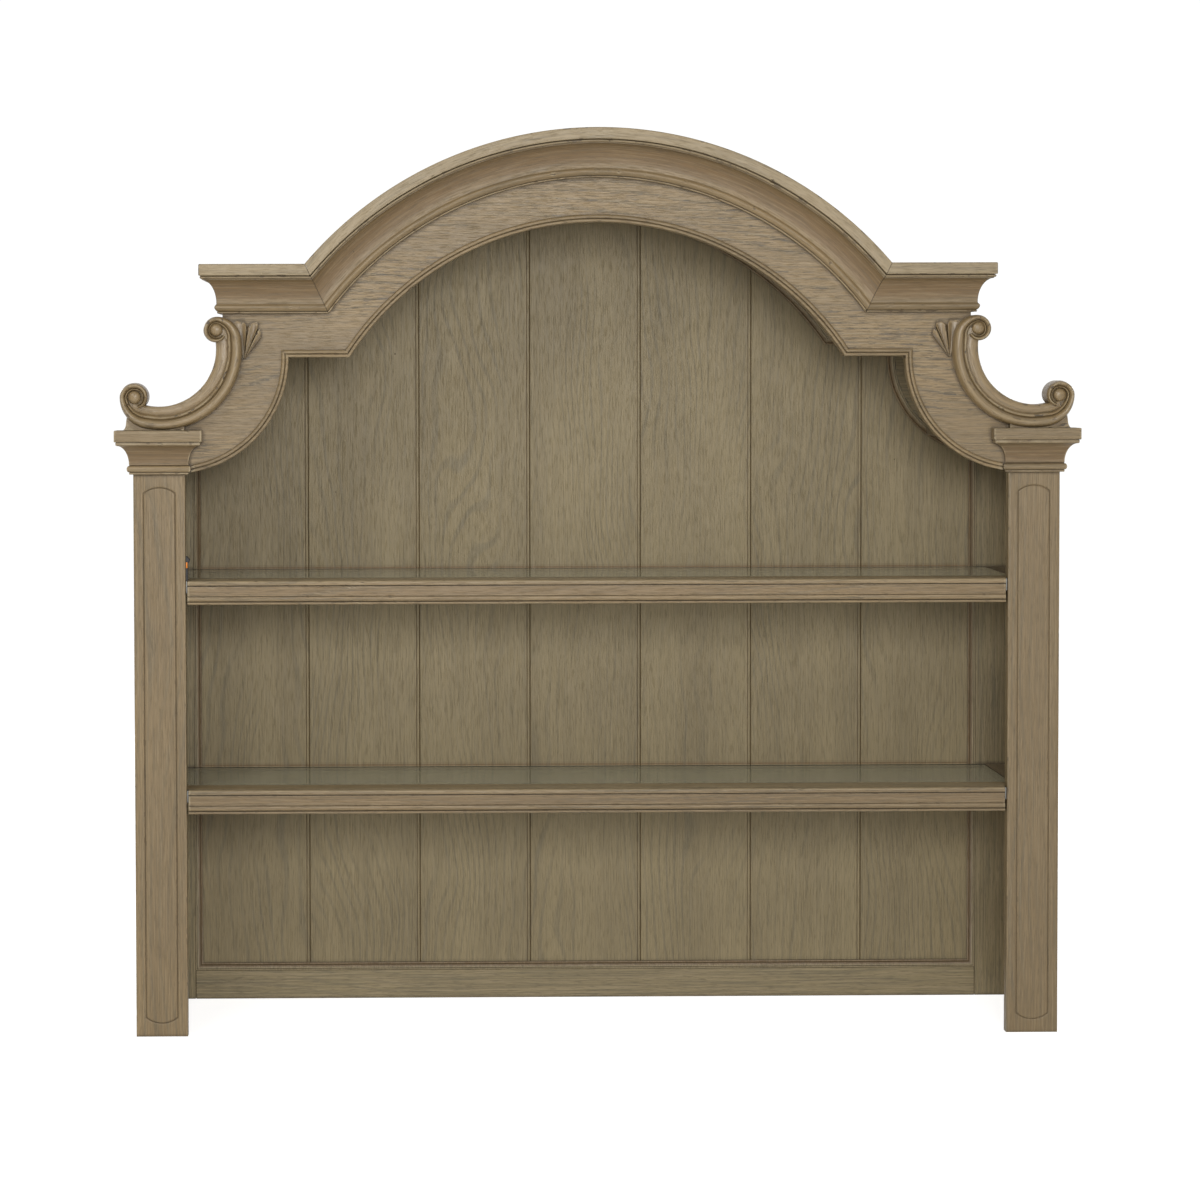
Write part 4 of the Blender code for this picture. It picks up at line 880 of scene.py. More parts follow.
def capital_shell(posts):
    """A capital that wraps the post, its inner return stopping against the arched board."""
    roll = POST_TOP + GAP + posts.cap_foot
    cove = roll + posts.cap_roll
    fillet = cove + posts.cap_cove
    plate = fillet + posts.cap_fillet
    low, out = POST_TOP + GAP, posts.cap_foot_out
    profile = [(low, out - 0.0008), (low + 0.0008, out), (roll - 0.0006, out), (roll, out - 0.0008)]
    profile += turned(roll + 0.0002, cove - 0.0002, out, posts.cap_roll_out, 8)
    profile += [(cove + 0.0002, out - 0.0008), (cove + 0.0012, out)]
    span = posts.cap_fillet_out - 0.0016 - out
    profile += [
        (cove + 0.0016 + (posts.cap_cove - 0.0022) * math.sin(a), out + span * (1 - math.cos(a)))
        for a in spread(0, math.pi / 2, 14)
    ]
    profile += [(fillet, posts.cap_fillet_out - 0.0009), (fillet + 0.0009, posts.cap_fillet_out)]
    profile += [(plate - 0.0005, posts.cap_fillet_out), (plate, posts.cap_fillet_out - 0.0012)]
    top, rim = CAP_TOP, posts.cap_plate_out
    profile += eased(plate, rim, 0.0014)
    profile += [(plate + 0.006, rim), (top - 0.006, rim)]
    profile += eased(top, rim, 0.0016, back=True)
    profile += [(top, rim - 0.008)]
    rings = []
    for z, reach in profile:
        inner, outer, front = POST_INNER - reach, HALF_FACE + reach, FACE_Y - reach
        path = [(POST_INNER, FACE_BACK_Y), (POST_INNER, FACE_Y - GAP), (inner, FACE_Y - GAP)]
        path += [(inner, front + (FACE_Y - GAP - front) * t) for t in spread(1, 0, 4)[1:-1]]
        path += [(x, front) for x in spread(inner, outer, 34)]
        path += [(outer, front + (FACE_BACK_Y - front) * t) for t in spread(0, 1, 12)[1:]]
        rings.append([(x, y, z) for x, y in path])
    return skin(rings)


# Shares of the reeds' width and height.
REED_SECTION = (
    (0, 0), (0, 0.45), (0.03, 0.72), (0.09, 0.92), (0.18, 1), (0.28, 0.97), (0.37, 0.8), (0.43, 0.5),
    (0.455, 0.22), (0.475, 0.5), (0.52, 0.74), (0.6, 0.9), (0.7, 0.94), (0.8, 0.86), (0.88, 0.66),
    (0.94, 0.36), (0.975, 0.1), (1, 0),
)


def reeds_shell(opening, end_x):
    """Two reeds along the edge of the opening, on the face of the board."""
    paths = [opening_path(opening, opening.reed_width * across, end_x) for across, _ in REED_SECTION]
    rings = [
        [(x, FACE_Y - GAP - opening.reed_proud * out, z) for (x, z), (_, out) in zip(station, REED_SECTION)]
        for station in zip(*paths)
    ]
    return skin(rings)


def scroll_arcs(scroll):
    """Arcs of the scroll's outer edge, as (centre, radius, first angle, last angle, width at its start,
    width at its end), from the inside of the upper volute to the inside of the lower one."""

    def tangent(point, toward):
        return (scroll.radius**2 - point.length_squared) / (2 * (scroll.radius + toward.dot(point)))

    upper = Vector((-scroll.upper_in, scroll.upper_rise))
    lower = Vector((scroll.lower_out, -scroll.lower_drop))
    top = upper + Vector((0, scroll.upper_radius))
    side = lower + Vector((scroll.lower_radius, 0))
    top_radius, side_radius = tangent(top, Vector((0, -1))), tangent(side, Vector((-1, 0)))
    top_centre, side_centre = top - Vector((0, top_radius)), side - Vector((side_radius, 0))
    enter = math.atan2(top_centre[1], top_centre[0])
    leave = math.atan2(side_centre[1], side_centre[0]) + math.tau
    right, half, full = math.pi / 2, math.pi, math.tau
    near, tail = scroll.upper_radius * 0.92, scroll.upper_radius * 0.80
    upper_near = upper + Vector((scroll.upper_radius - near, 0))
    upper_tail = upper_near + Vector((0, tail - near))
    far, end = scroll.lower_radius * 0.95, scroll.lower_radius * 0.80
    lower_far = lower + Vector((0, scroll.lower_radius - far))
    lower_end = lower_far + Vector((end - far, 0))
    thin = (scroll.upper_width + scroll.end_width) / 2
    low_thin = (scroll.lower_width + scroll.end_width) / 2
    return [
        (upper_tail, tail, -right * 1.7, -right, scroll.end_width, thin),
        (upper_near, near, -right, 0, thin, scroll.upper_width),
        (upper, scroll.upper_radius, 0, right, scroll.upper_width, scroll.upper_width),
        (top_centre, top_radius, right, enter, scroll.upper_width, scroll.width),
        (Vector((0, 0)), scroll.radius, enter, leave, scroll.width, scroll.width),
        (side_centre, side_radius, leave, full, scroll.width, scroll.lower_width),
        (lower, scroll.lower_radius, full, full + right, scroll.lower_width, scroll.lower_width),
        (lower_far, far, full + right, full + half, scroll.lower_width, low_thin),
        (lower_end, end, full + half, full + half + right * 0.9, low_thin, scroll.end_width),
    ]


# Shares of the roll's width and of the scroll's thickness. None is the back.
ROLL_SECTION = (
    (0, None), (0, 0.34), (0.012, 0.52), (0.04, 0.69), (0.09, 0.83), (0.16, 0.93), (0.25, 0.985), (0.35, 1),
    (0.45, 0.975), (0.54, 0.9), (0.605, 0.80), (0.64, 0.71), (0.656, 0.64), (0.670, 0.65), (0.692, 0.71),
    (0.73, 0.765), (0.78, 0.78), (0.83, 0.755), (0.87, 0.69), (0.895, 0.60), (0.92, 0.50), (0.95, 0.44),
    (1, 0.44), (1, None),
)
BAND_SECTION = (
    (0, None), (0, 0.94), (0.12, 1.0), (0.4, 1.05), (0.7, 1.03), (0.88, 0.95), (0.96, 0.84), (1, 0.66),
    (1, None),
)


def scroll_roll(scroll, back):
    """The thick roll and the thin bead inside it, swept along the outer edge."""
    rings = []
    for centre, radius, first, last, start_width, end_width in scroll_arcs(scroll):
        steps = max(3, round(abs(last - first) * max(radius, 0.045) / 0.0026))
        for i, angle in enumerate(spread(first, last, steps)):
            if i == 0 and rings:
                continue
            width = start_width + (end_width - start_width) * i / steps
            ring = []
            for across, out in ROLL_SECTION:
                point = centre + unit(angle) * (radius - width * across)
                y = back if out is None else FACE_Y - scroll.proud * out
                ring.append((scroll.centre_x + point[0], y, CAP_TOP + GAP + scroll.radius + point[1]))
            rings.append(ring)
    return skin(rings)


def scroll_band(scroll, back):
    """The plain band on the hollow side of the scroll, running into both volutes."""
    hollow = Vector((scroll.hollow_x, scroll.hollow_z))
    rings = []
    for angle in spread(math.radians(163), math.radians(295), 120):
        outer = unit(angle) * (scroll.radius - scroll.width * 0.9)
        inner = hollow + unit(angle) * scroll.hollow_radius
        ring = []
        for across, out in BAND_SECTION:
            point = outer.lerp(inner, across)
            y = back if out is None else FACE_Y - scroll.proud * 0.5 * out
            ring.append((scroll.centre_x + point[0], y, CAP_TOP + GAP + scroll.radius + point[1]))
        rings.append(ring)
    return skin(rings)


def volute_bed(centre, radius, front, back):
    """The round ground of a volute, sunk towards its middle."""
    rings = [ring_of(centre, radius, back, 48)]
    for reach, sunk in ((1, 0.003), (0.94, 0.0006), (0.86, 0), (0.5, 0.0012)):
        rings.append(ring_of(centre, radius * reach, front + sunk, 48))
    return skin(rings)


def volute_eye(centre, radius, base, height):
    """The ball in a volute, undercut where it meets its ground."""
    rings = [ring_of(centre, radius * 0.8, base + 0.004, 36)]
    for angle in spread(math.radians(-28), math.radians(84), 11):
        reach, rise = radius * math.cos(angle), height * (math.sin(angle) + 0.47) / 1.47
        rings.append(ring_of(centre, reach, base - rise, 36))
    return skin(rings)


def scroll_foot(scroll, back):
    """The block between the scroll and the capital, from the board to a flare outside."""
    low, reach = CAP_TOP + GAP, scroll.centre_x + scroll.foot_reach
    flare = [
        (reach - scroll.foot_flare * math.sin(a), low + scroll.foot_height * 0.7 * (1 - math.cos(a)))
        for a in spread(0, math.pi / 2, 14)
    ]
    outline = [(POST_INNER, low)] + flare
    outline += [(reach - scroll.foot_flare * 1.4, low + scroll.foot_height * 1.5)]
    high = low + scroll.foot_height
    outline += [(scroll.centre_x + scroll.width / 2, high), (POST_INNER, high)]
    front = FACE_Y - scroll.proud * 0.55
    return skin([[(x, y, z) for x, z in outline] for y in (front, back)])


def united(shells, cutters):
    """Joins closed bmeshes into one with exact Booleans, and cuts the cutters away."""
    made = []
    for i, shell in enumerate(list(shells) + list(cutters)):
        mesh = bpy.data.meshes.new("part")
        shell.to_mesh(mesh)
        shell.free()
        obj = bpy.data.objects.new(f"part_{i}", mesh)
        bpy.context.scene.collection.objects.link(obj)
        made.append(obj)
    base = made[0]
    for i, helper in enumerate(made[1:], 1):
        modifier = base.modifiers.new("Join", "BOOLEAN")
        modifier.operation = "UNION" if i < len(shells) else "DIFFERENCE"
        modifier.object = helper
        modifier.solver = "EXACT"
    graph = bpy.context.evaluated_depsgraph_get()
    result = bmesh.new()
    result.from_mesh(base.evaluated_get(graph).to_mesh())
    base.evaluated_get(graph).to_mesh_clear()
    for obj in made:
        mesh = obj.data
        bpy.data.objects.remove(obj)
        bpy.data.meshes.remove(mesh)
    return result


def scroll_shell(scroll):
    """A C-scroll standing on the capital and against the rounded end of the arched board."""
    centre_z = CAP_TOP + GAP + scroll.radius
    upper = (scroll.centre_x - scroll.upper_in, centre_z + scroll.upper_rise)
    lower = (scroll.centre_x + scroll.lower_out, centre_z - scroll.lower_drop)
    bed = FACE_Y - scroll.proud * 0.42
    shells = [
        scroll_roll(scroll, FACE_BACK_Y + 0.004),
        scroll_band(scroll, FACE_BACK_Y + 0.008),
        volute_bed(upper, scroll.upper_radius - 0.003, bed, FACE_BACK_Y + 0.012),
        volute_bed(lower, scroll.lower_radius - 0.0033, bed, FACE_BACK_Y + 0.016),
        volute_eye((upper[0] + 0.0009, upper[1] + 0.0004), scroll.eye, bed, scroll.proud * 0.38),
        volute_eye((lower[0] - 0.0004, lower[1] + 0.0006), scroll.eye, bed, scroll.proud * 0.38),
        scroll_foot(scroll, FACE_BACK_Y + 0.020),
    ]
    radius = scroll.centre_x - UPPER_HALF - GAP
    low = math.pi + math.acos((scroll.centre_x - POST_INNER) / radius)
    seat = arc((scroll.centre_x, centre_z), radius, math.pi, low, 40)
    far_x, high, floor = scroll.centre_x - scroll.radius * 2, centre_z + scroll.radius, CAP_TOP - 0.004
    seat = [(seat[0][0], high)] + seat + [(POST_INNER, floor), (far_x, floor), (far_x, high)]
    board_cutter = skin([[(x, y, z) for x, z in seat] for y in (FACE_Y - GAP, FACE_BACK_Y + 0.024)])
    reach = scroll.radius + 0.004
    turns = ((-1, -1), (1, -1), (1, 1), (-1, 1))
    corners = [(scroll.centre_x + x * reach, centre_z + z * reach) for x, z in turns]
    back_cutter = skin([[(x, y, z) for x, z in corners] for y in (FACE_BACK_Y, FACE_BACK_Y + 0.028)])
    return united(shells, [board_cutter, back_cutter])


# Each lobe from its left side over its tip to its right side, as places from the root.
LEAF_LOBES = (
    ((0.0215, 0.0560), (0.0046, 0.0655), (-0.0049, 0.0537)),
    ((-0.0049, 0.0537), (-0.0209, 0.0624), (-0.0222, 0.0501)),
    ((-0.0222, 0.0501), (-0.0289, 0.0402), (-0.0262, 0.0340)),
)
# Shares of the way across a lobe and of the leaf's thickness.
LEAF_SCOOP = (
    (0, 0.16), (0.04, 0.62), (0.09, 0.94), (0.14, 1.0), (0.20, 0.92), (0.30, 0.72), (0.5, 0.62),
    (0.70, 0.72), (0.80, 0.92), (0.86, 1.0), (0.91, 0.94), (0.96, 0.62),
)


def bowed(first, last, share_, bulge):
    """A place along a line that bows outward from the root."""
    point = Vector(first).lerp(Vector(last), share_)
    return point * (1 + bulge * share_ * (1 - share_))


# Bow of a lobe's sides, and the cross lines of the leaf from its root to its tips.
LEAF_BOW = 0.28
LEAF_REACHES = (0.05, 0.14, 0.24, 0.34, 0.44, 0.54, 0.64, 0.73, 0.81, 0.88, 0.94, 0.98, 1.0)


def leaf_shell(scroll):
    """A leaf of three scooped lobes with raised rims, opening from a root beside the scroll."""
    columns = []
    for left, tip, right in LEAF_LOBES:
        for t, height in LEAF_SCOOP:
            start, end, along = (left, tip, t * 2) if t < 0.5 else (tip, right, t * 2 - 1)
            columns.append((bowed(start, end, along, LEAF_BOW), height))
    columns.append((Vector(LEAF_LOBES[-1][-1]), 0.10))
    rings = []
    for reach in LEAF_REACHES:
        lift = 0.40 + 0.60 * math.sin(math.pi * min(0.5, reach * 0.62))
        curl = 1.0 if reach < 0.97 else 0.72
        ring = []
        for place, height in columns:
            sunk = 1 - (1 - height) * min(1.0, 0.35 + reach * 1.1)
            y = FACE_Y - GAP - scroll.leaf_proud * lift * curl * sunk
            ring.append((scroll.leaf_x + place[0] * reach, y, scroll.leaf_z + place[1] * reach))
        first, last = ring[0], ring[-1]
        rings.append(ring + [(last[0], FACE_Y - GAP, last[2]), (first[0], FACE_Y - GAP, first[2])])
    return skin(rings)


def height_at(path, x):
    """Height of a path where it first reaches x."""
    for (start, low), (end, high) in zip(path, path[1:]):
        if start <= x <= end:
            return low + (high - low) * (x - start) / (end - start)
    raise ValueError(f"the path doesn't reach {x}")


# A plank's long edge, in shares of its chamfer; the groove beside its joint; and the heights above a
# pane of glass where the painted shadow line, and the fainter painted shade above it, start and end.
PLANK_EDGE = ((0, 1), (0.12, 0.85), (0.5, 0.46), (0.78, 0.16), (1.0, 0), (1.25, 0), (1.5, 0), (2.4, 0))
QUIRK_SECTION = ((-0.0008, 0.0), (-0.0006, 0.0008), (0.0, 0.0008), (0.0004, 0.0002), (0.0010, 0.0))
GLASS_SHADOW_STEPS = (-0.0008, -0.0002, 0.0020, 0.0026, 0.0056, 0.0064)
TONGUE_WIDTH, TONGUE_THICK = 0.004, 0.0022


def plank_shell(back, path, node, tongue, glasses):
    """A plank cut at the top to the shape of the frame, its long edges chamfered, with a tongue that
    closes the joint beside it."""
    (start, front, low), (end, rear, _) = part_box(node)
    c, quirk = back.chamfer, end - back.quirk
    stops = [(start + c * along, c * down) for along, down in PLANK_EDGE]
    flat = spread(start + c * PLANK_EDGE[-1][0], quirk - 0.003, 38)
    steep = [
        x for (x, z), (next_x, next_z) in zip(path, path[1:]) if abs(next_z - z) > 2 * abs(next_x - x)
    ]
    flat = sorted({round(x, 5) for x in flat[1:-1] + steep if flat[0] < x < flat[-1]}) + flat[-1:]
    stops += [(x, 0.0) for x in flat]
    stops += [(quirk + along, down) for along, down in QUIRK_SECTION]
    stops += [(end - c * along, c * down) for along, down in reversed(PLANK_EDGE)]
    if tongue:
        sunk = rear - front - TONGUE_THICK
        stops = [(start - TONGUE_WIDTH, sunk), (start, sunk)] + stops
    rings = []
    for x, down in stops:
        top = height_at(path, max(-abs(x), path[0][0]))
        back_y = rear if x > start or not tongue else rear - 0.0015
        levels = [low, low + 0.0015, low + 0.004] + spread(low + 0.004, top - 0.004, 12)[1:-1]
        levels += [top - 0.004, top - 0.0015, top]
        levels = sorted(levels + [glass + step for glass in glasses for step in GLASS_SHADOW_STEPS])
        rings.append([(x, front + down, z) for z in levels] + [(x, back_y, z) for z in reversed(levels)])
    return skin(rings)


def plank_joints_and_shadow(low, high, quirk, glasses):
    """1 in a plank's joints and groove, and a painted shadow line, with fainter painted shade above it,
    where each pane of glass meets the plank.
    """

    def shade(place):
        if place[1] > high.y - 0.002:
            return 0.0
        inward = min(place[0] - low.x, high.x - place[0], abs(high.x - quirk - 0.0003 - place[0]))
        # Painted shade: a dark line just above each pane's rear edge and a fainter band over it, as the
        # shadow where the glass meets the plank.
        above = [place[2] - glass for glass in glasses if -0.0004 < place[2] - glass < 0.0058]
        dirt_and_shadow = (1.0 if above[0] < 0.0022 else 0.35) if above else 0.0
        return 1.0 if inward < 0.0004 else dirt_and_shadow

    return shade


# Shares of the moulding's width and of the recess.
BACK_MOULDING_SECTION = (
    (1, 0), (1, 0.95), (0, 0.95), (0, 0.72), (0.06, 0.60), (0.14, 0.55), (0.22, 0.60), (0.26, 0.66),
    (0.30, 0.52), (0.42, 0.36), (0.56, 0.25), (0.70, 0.16), (0.78, 0.14), (0.81, 0.26), (0.84, 0.08),
    (0.90, 0),
)


def back_moulding_shell(back, opening):
    """The moulding round the inside of the back frame, in front of the planks."""
    loops = []
    for across, depth in BACK_MOULDING_SECTION:
        offset = (back.bead - GAP) * across
        half = back.half_opening + offset
        low, y = back.rail_top - offset, BACK_FRONT_Y + back.recess * depth
        edge = opening_path(opening, back.reveal + offset, half, BACK_OPENING_STEP)
        path = [(-half, low)] + edge + [(half, low)]
        loops.append([(x, y, z) for x, z in path])
    return skin(list(zip(*loops)), closed=True)


def lip_shell(shelves, node):
    """The moulded front edge of a shelf: a rounded band, a sunk flat, a bead and a foot bead."""
    low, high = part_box(node)
    tall, deep, sink = high.z - low.z, high.y - low.y, shelves.sink
    field = shelves.band + shelves.field
    foot = tall - shelves.foot
    nose, turns = 0.0042, spread(0, math.pi / 2, 6)[1:]
    section = [(0, deep), (0, 0.0080), (0, nose)]
    section += [(nose - nose * math.cos(a), nose - nose * math.sin(a)) for a in turns]
    section += [(shelves.band - 0.0016, 0)]
    section += rounded((shelves.band, 0), (shelves.band - 0.0013, 0), (shelves.band, 0.001), 3)
    section += [(shelves.band + 0.0001, sink + 0.0016), (shelves.band + 0.0010, sink + 0.0016)]
    section += [(shelves.band + 0.0016, sink), (shelves.band + 0.0026, sink)]
    section += [(shelves.band + 0.008, sink), (field - 0.006, sink), (field - 0.0022, sink)]
    section += [(field - 0.0009, sink), (field - 0.0003, sink + 0.0005)]
    section += [(down, sink - out) for down, out in turned(field, foot - 0.0008, 0, sink, 8)]
    section += [(foot - 0.0004, sink + 0.0012), (foot + 0.0002, sink + 0.0008)]
    section += [(down, sink - out) for down, out in turned(foot + 0.0004, tall, 0.0, sink, 6)][:-1]
    section += [(tall, sink), (tall, sink + 0.002), (tall, deep)]
    rings = []
    for x in spread(low.x, high.x, 300):
        rings.append([(x, low.y + back_, high.z - down) for down, back_ in section])
    return skin(rings)


def lip_glaze_and_highlight(top, shelves):
    """A lip's crest painted lighter as a highlight, the glaze in its sunk flat, and a little of it
    elsewhere.
    """
    high = top - shelves.band
    low = high - shelves.field

    def shade(place):
        # Painted highlight: the crest takes the rubbed colour as a light line along the lip's top.
        if place[2] > top - 0.0034:
            return -0.7
        return 0.46 if low < place[2] < high else 0.12

    return shade


# A pane's rounded corner, in shares of its arris: along the pane's depth, and in from its end.
PANE_CORNER = ((0.0, 2.6), (0.3, 1.6), (1.0, 0.7), (2.6, 0.15), (4.0, 0.0))


def pane_shell(node, arris, rear_line):
    """A pane with polished edges and rounded corners. A row of points starts the painted shadow strip at
    its rear.
    """
    low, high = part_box(node)
    rings = []
    stops = [(low.y + arris * along, arris * inset) for along, inset in PANE_CORNER]
    stops += [(y, 0.0) for y in spread(low.y + arris * 5, high.y - rear_line - 0.002, 6)]
    stops += [(high.y - rear_line, 0.0), (high.y - rear_line + 0.0005, 0.0)]
    stops += [(high.y - arris * along, arris * inset) for along, inset in reversed(PANE_CORNER)]
    for y, inset in stops:
        left, right = low.x + inset, high.x - inset
        bottom, top = low.z + min(inset, arris * 0.8), high.z - min(inset, arris * 0.8)

        def end(x, inward):
            ring = [(x + inward, bottom), (x + inward * 0.3, bottom + arris * 0.3), (x, bottom + arris)]
            ring += [(x, top - arris), (x + inward * 0.3, top - arris * 0.3), (x + inward, top)]
            return ring + [(x + inward * 2, top)]

        ring = end(left, arris) + [(x, top) for x in spread(left + arris * 4, right - arris * 4, 12)]
        ring += reversed(end(right, -arris))
        rings.append([(x, y, z) for x, z in ring])
    return skin(rings)


def rear_shade(rear):
    """1 on the painted shadow strip at a pane's rear, which starts at rear."""
    return lambda place: 1.0 if place[1] > rear - GAP else 0.0


# A screw head's outline, in shares of its radius and height, and the arms of its cross recess.
SCREW_HEAD = ((1, -0.4), (1, 0.35), (0.94, 0.6), (0.8, 0.82), (0.6, 0.95), (0.46, 1.0))
SCREW_SIDES, SCREW_HEIGHT = 32, 0.42
RECESS_ARM, RECESS_GAP, RECESS_TOP, RECESS_DEPTH = 0.46, 0.16, 0.40, 0.30


def screw_shell(place, out, radius, turn):
    """A pan head screw with a cross recess, standing out along the level unit vector out."""
    side = Vector((0, 0, 1)).cross(out)
    up = out.cross(side)
    angles = [math.tau * step / SCREW_SIDES + turn for step in range(SCREW_SIDES)]
    spokes = [side * math.cos(angle) + up * math.sin(angle) for angle in angles]
    rings = [
        [tuple(place + spoke * (radius * share_) + out * rise * radius * SCREW_HEIGHT) for spoke in spokes]
        for share_, rise in SCREW_HEAD
    ]
    sunk = []
    for step, spoke in enumerate(spokes):
        arm = RECESS_ARM if step % 8 in (0, 1, 7) else RECESS_GAP
        sunk.append(tuple(place + spoke * radius * arm + out * radius * RECESS_TOP))
    deep = [tuple(Vector(point) - out * radius * RECESS_DEPTH) for point in sunk]
    return skin(rings + [sunk, deep])


def block_shell(low, high, ease):
    """A block with its edges and corners rounded."""
    bm = bmesh.new()
    low, high = Vector(low), Vector(high)
    place = Matrix.Translation((low + high) / 2) @ Matrix.Diagonal((*(high - low), 1))
    bmesh.ops.create_cube(bm, size=1, matrix=place)
    bmesh.ops.bevel(bm, geom=bm.edges[:], offset=ease, segments=3, profile=0.5, affect="EDGES")
    return bm


# Shares of the clip's width and height.
CLIP_OUTLINE = (
    (0, 0), (0.46, 0), (0.51, 0.03), (0.50, 0.34), (0.47, 0.52), (0.52, 0.70), (0.86, 0.80), (1, 0.835),
    (0.98, 0.87), (0.6, 0.935), (0.26, 1), (0, 1),
)


def clip_shell(node):
    """The moulded clip: a tongue that swells to a ledge and ends in a point."""
    low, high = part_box(node)
    wide, tall = high.x - low.x, high.z - low.z
    loops = []
    for y, inset in ((low.y, 0.0005), (low.y + 0.0004, 0), (high.y - 0.0004, 0), (high.y, 0.0005)):
        loop = []
        for x, z in CLIP_OUTLINE:
            pulled = max(0.0, x * wide - inset)
            loop.append((low.x + pulled, y, min(max(low.z + z * tall, low.z + inset), high.z - inset)))
        loops.append(loop)
    return skin(loops)


# Finishes of the boards that are shown as the CAD frame has them.
CARCASE = {
    "arch_board": ("arch_board",),
    "upright": ("{side}_side_panel", "{side}_upper_side"),
    "shelf": ("{level}_shelf_board",),
    "inside": (
        "roof_arch", "{side}_deck", "{side}_shoulder_roof", "{side}_{level}_shelf_rail",
        "{side}_{level}_cleat",
    ),
    "back_stile": ("{side}_back_stile",),
    "back_rail": ("back_bottom_rail", "back_arch_rail"),
}
# How deep the proud edges are nicked.
POST_NICKS, CAPITAL_NICKS, CROWN_NICKS = 0.0004, 0.0010, 0.0016
REED_NICKS, SCROLL_NICKS, LIP_NICKS = 0.0007, 0.0006, 0.0010
# Rubbing of a capital above and below its cove.
OUTSIDE_COVE = -0.15
# Screws: shares of a plank's width and of a cleat's length, and how each is turned.
PLANK_SCREWS, SCREW_RISE, SCREW_TURN = (0.22, 0.78), 0.55, 40.0
CLEAT_SCREWS, CLEAT_SCREW, CLEAT_TURN = (0.12, 0.5, 0.88), 0.0036, 7
SCREW_SMOOTH = 30
FITTING_EASE = 0.0005
FLOOR_DROP = 0.0002
FLOOR_GLOW, BACKGROUND_STRENGTH = (0.80, 0.80, 0.80), 1.04
# The camera: place in metres, angles in degrees.
CAMERA_PLACE, CAMERA_SHIFT = (-0.3489, -5.3833, 1.1028), (0.1466, -0.0936)
CAMERA_TURN, CAMERA_DIP, CAMERA_ROLL = -0.7, 2.148, -0.157


class HUTCH_OT_carcase(bpy.types.Operator):
    """Finish the boards of the face frame, the sides, the roof and the shelves"""

    bl_idname = "hutch.carcase"
    bl_label = "Carcase Boards"

    def execute(self, context):
        for finish, boards in CARCASE.items():
            material = oak(context, finish)
            places = [{"side": side, "level": level} for side, _ in SIDES for level in LEVELS]
            for node in sorted({board.format(**place) for board in boards for place in places}):
                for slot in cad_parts[node].material_slots:
                    slot.material = material
        return {"FINISHED"}


class HUTCH_OT_posts(bpy.types.Operator):
    """Make the two posts with their routed lines, and the capitals over them"""

    bl_idname = "hutch.posts"
    bl_label = "Posts and Capitals"

    def execute(self, context):
        posts = settings(context).posts
        cove_low = POST_TOP + posts.cap_foot + posts.cap_roll

        # The capital's cove is painted towards the cove colour: its glaze, and painted shade under the
        # plate.
        def cap_shade(place):
            up = (place[2] - cove_low) / posts.cap_cove
            return math.sin(math.pi * up) ** 0.5 if 0.0 < up < 1.0 else OUTSIDE_COVE

        for board, (side, mirrored) in enumerate(SIDES, 1):
            node = f"{side}_post"
            mesh = mesh_of("post", post_shell(posts), mirrored=mirrored)
            piece(f"{node}_routed", mesh, oak(context, node), [node], "z", board, POST_NICKS)
            node = f"{side}_capital"
            mesh = mesh_of("capital", capital_shell(posts), mirrored=mirrored)
            piece(
                f"{node}_moulded", mesh, oak(context, node), [node], "x", board + 2, CAPITAL_NICKS,
                shade=cap_shade, rear=FACE_BACK_Y - GAP,
            )
        return {"FINISHED"}


class HUTCH_OT_crown(bpy.types.Operator):
    """Make the crown: the arched length, the shoulders and the returns, mitred together"""

    bl_idname = "hutch.crown"
    bl_label = "Crown"

    def execute(self, context):
        crown = settings(context).crown
        centre, radius = centre_and_radius(crown.half_chord, crown.shoulder, crown.apex)
        plain, darker = oak(context, "crown"), oak(context, "right_crown")
        seam = len(crown_profile(crown))

        def round_arch(place):
            x, y, z = place
            return radius * math.atan2(x, z - centre), math.hypot(x, z - centre), y

        def arch_shade(place):
            return crown_shade(crown, radius - math.hypot(place[0], place[2] - centre))

        def level_shade(place):
            return crown_shade(crown, crown.shoulder - place[2])

        def length(node, shell, wood, direction, board, shade, mirrored=False):
            mesh = mesh_of("length", shell, mirrored=mirrored)
            piece(
                f"{node}_moulded", mesh, wood, [node], direction, board, CROWN_NICKS,
                shade=shade, seam=seam,
            )

        length("crown_arch", crown_arch(crown), plain, round_arch, 5, arch_shade)
        for side, mirrored in SIDES:
            # The right shoulder and return take the darker finish: painted shade, as the light falling off
            # towards the right.
            wood = plain if mirrored else darker
            shoulder, back = crown_shoulder(crown), crown_return(crown)
            length(f"{side}_crown_shoulder", shoulder, wood, "x", 6 + mirrored, level_shade, mirrored)
            length(f"{side}_crown_return", back, wood, "y", 8 + mirrored, level_shade, mirrored)
        return {"FINISHED"}


class HUTCH_OT_reeds(bpy.types.Operator):
    """Make the two reeds that follow the edge of the opening"""

    bl_idname = "hutch.reeds"
    bl_label = "Opening Reeds"

    def execute(self, context):
        node = "arch_reeds"
        mesh = mesh_of("reeds", reeds_shell(settings(context).opening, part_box(node)[1].x))
        piece(f"{node}_moulded", mesh, oak(context, "reed"), [node], "x", 10, REED_NICKS)
        return {"FINISHED"}


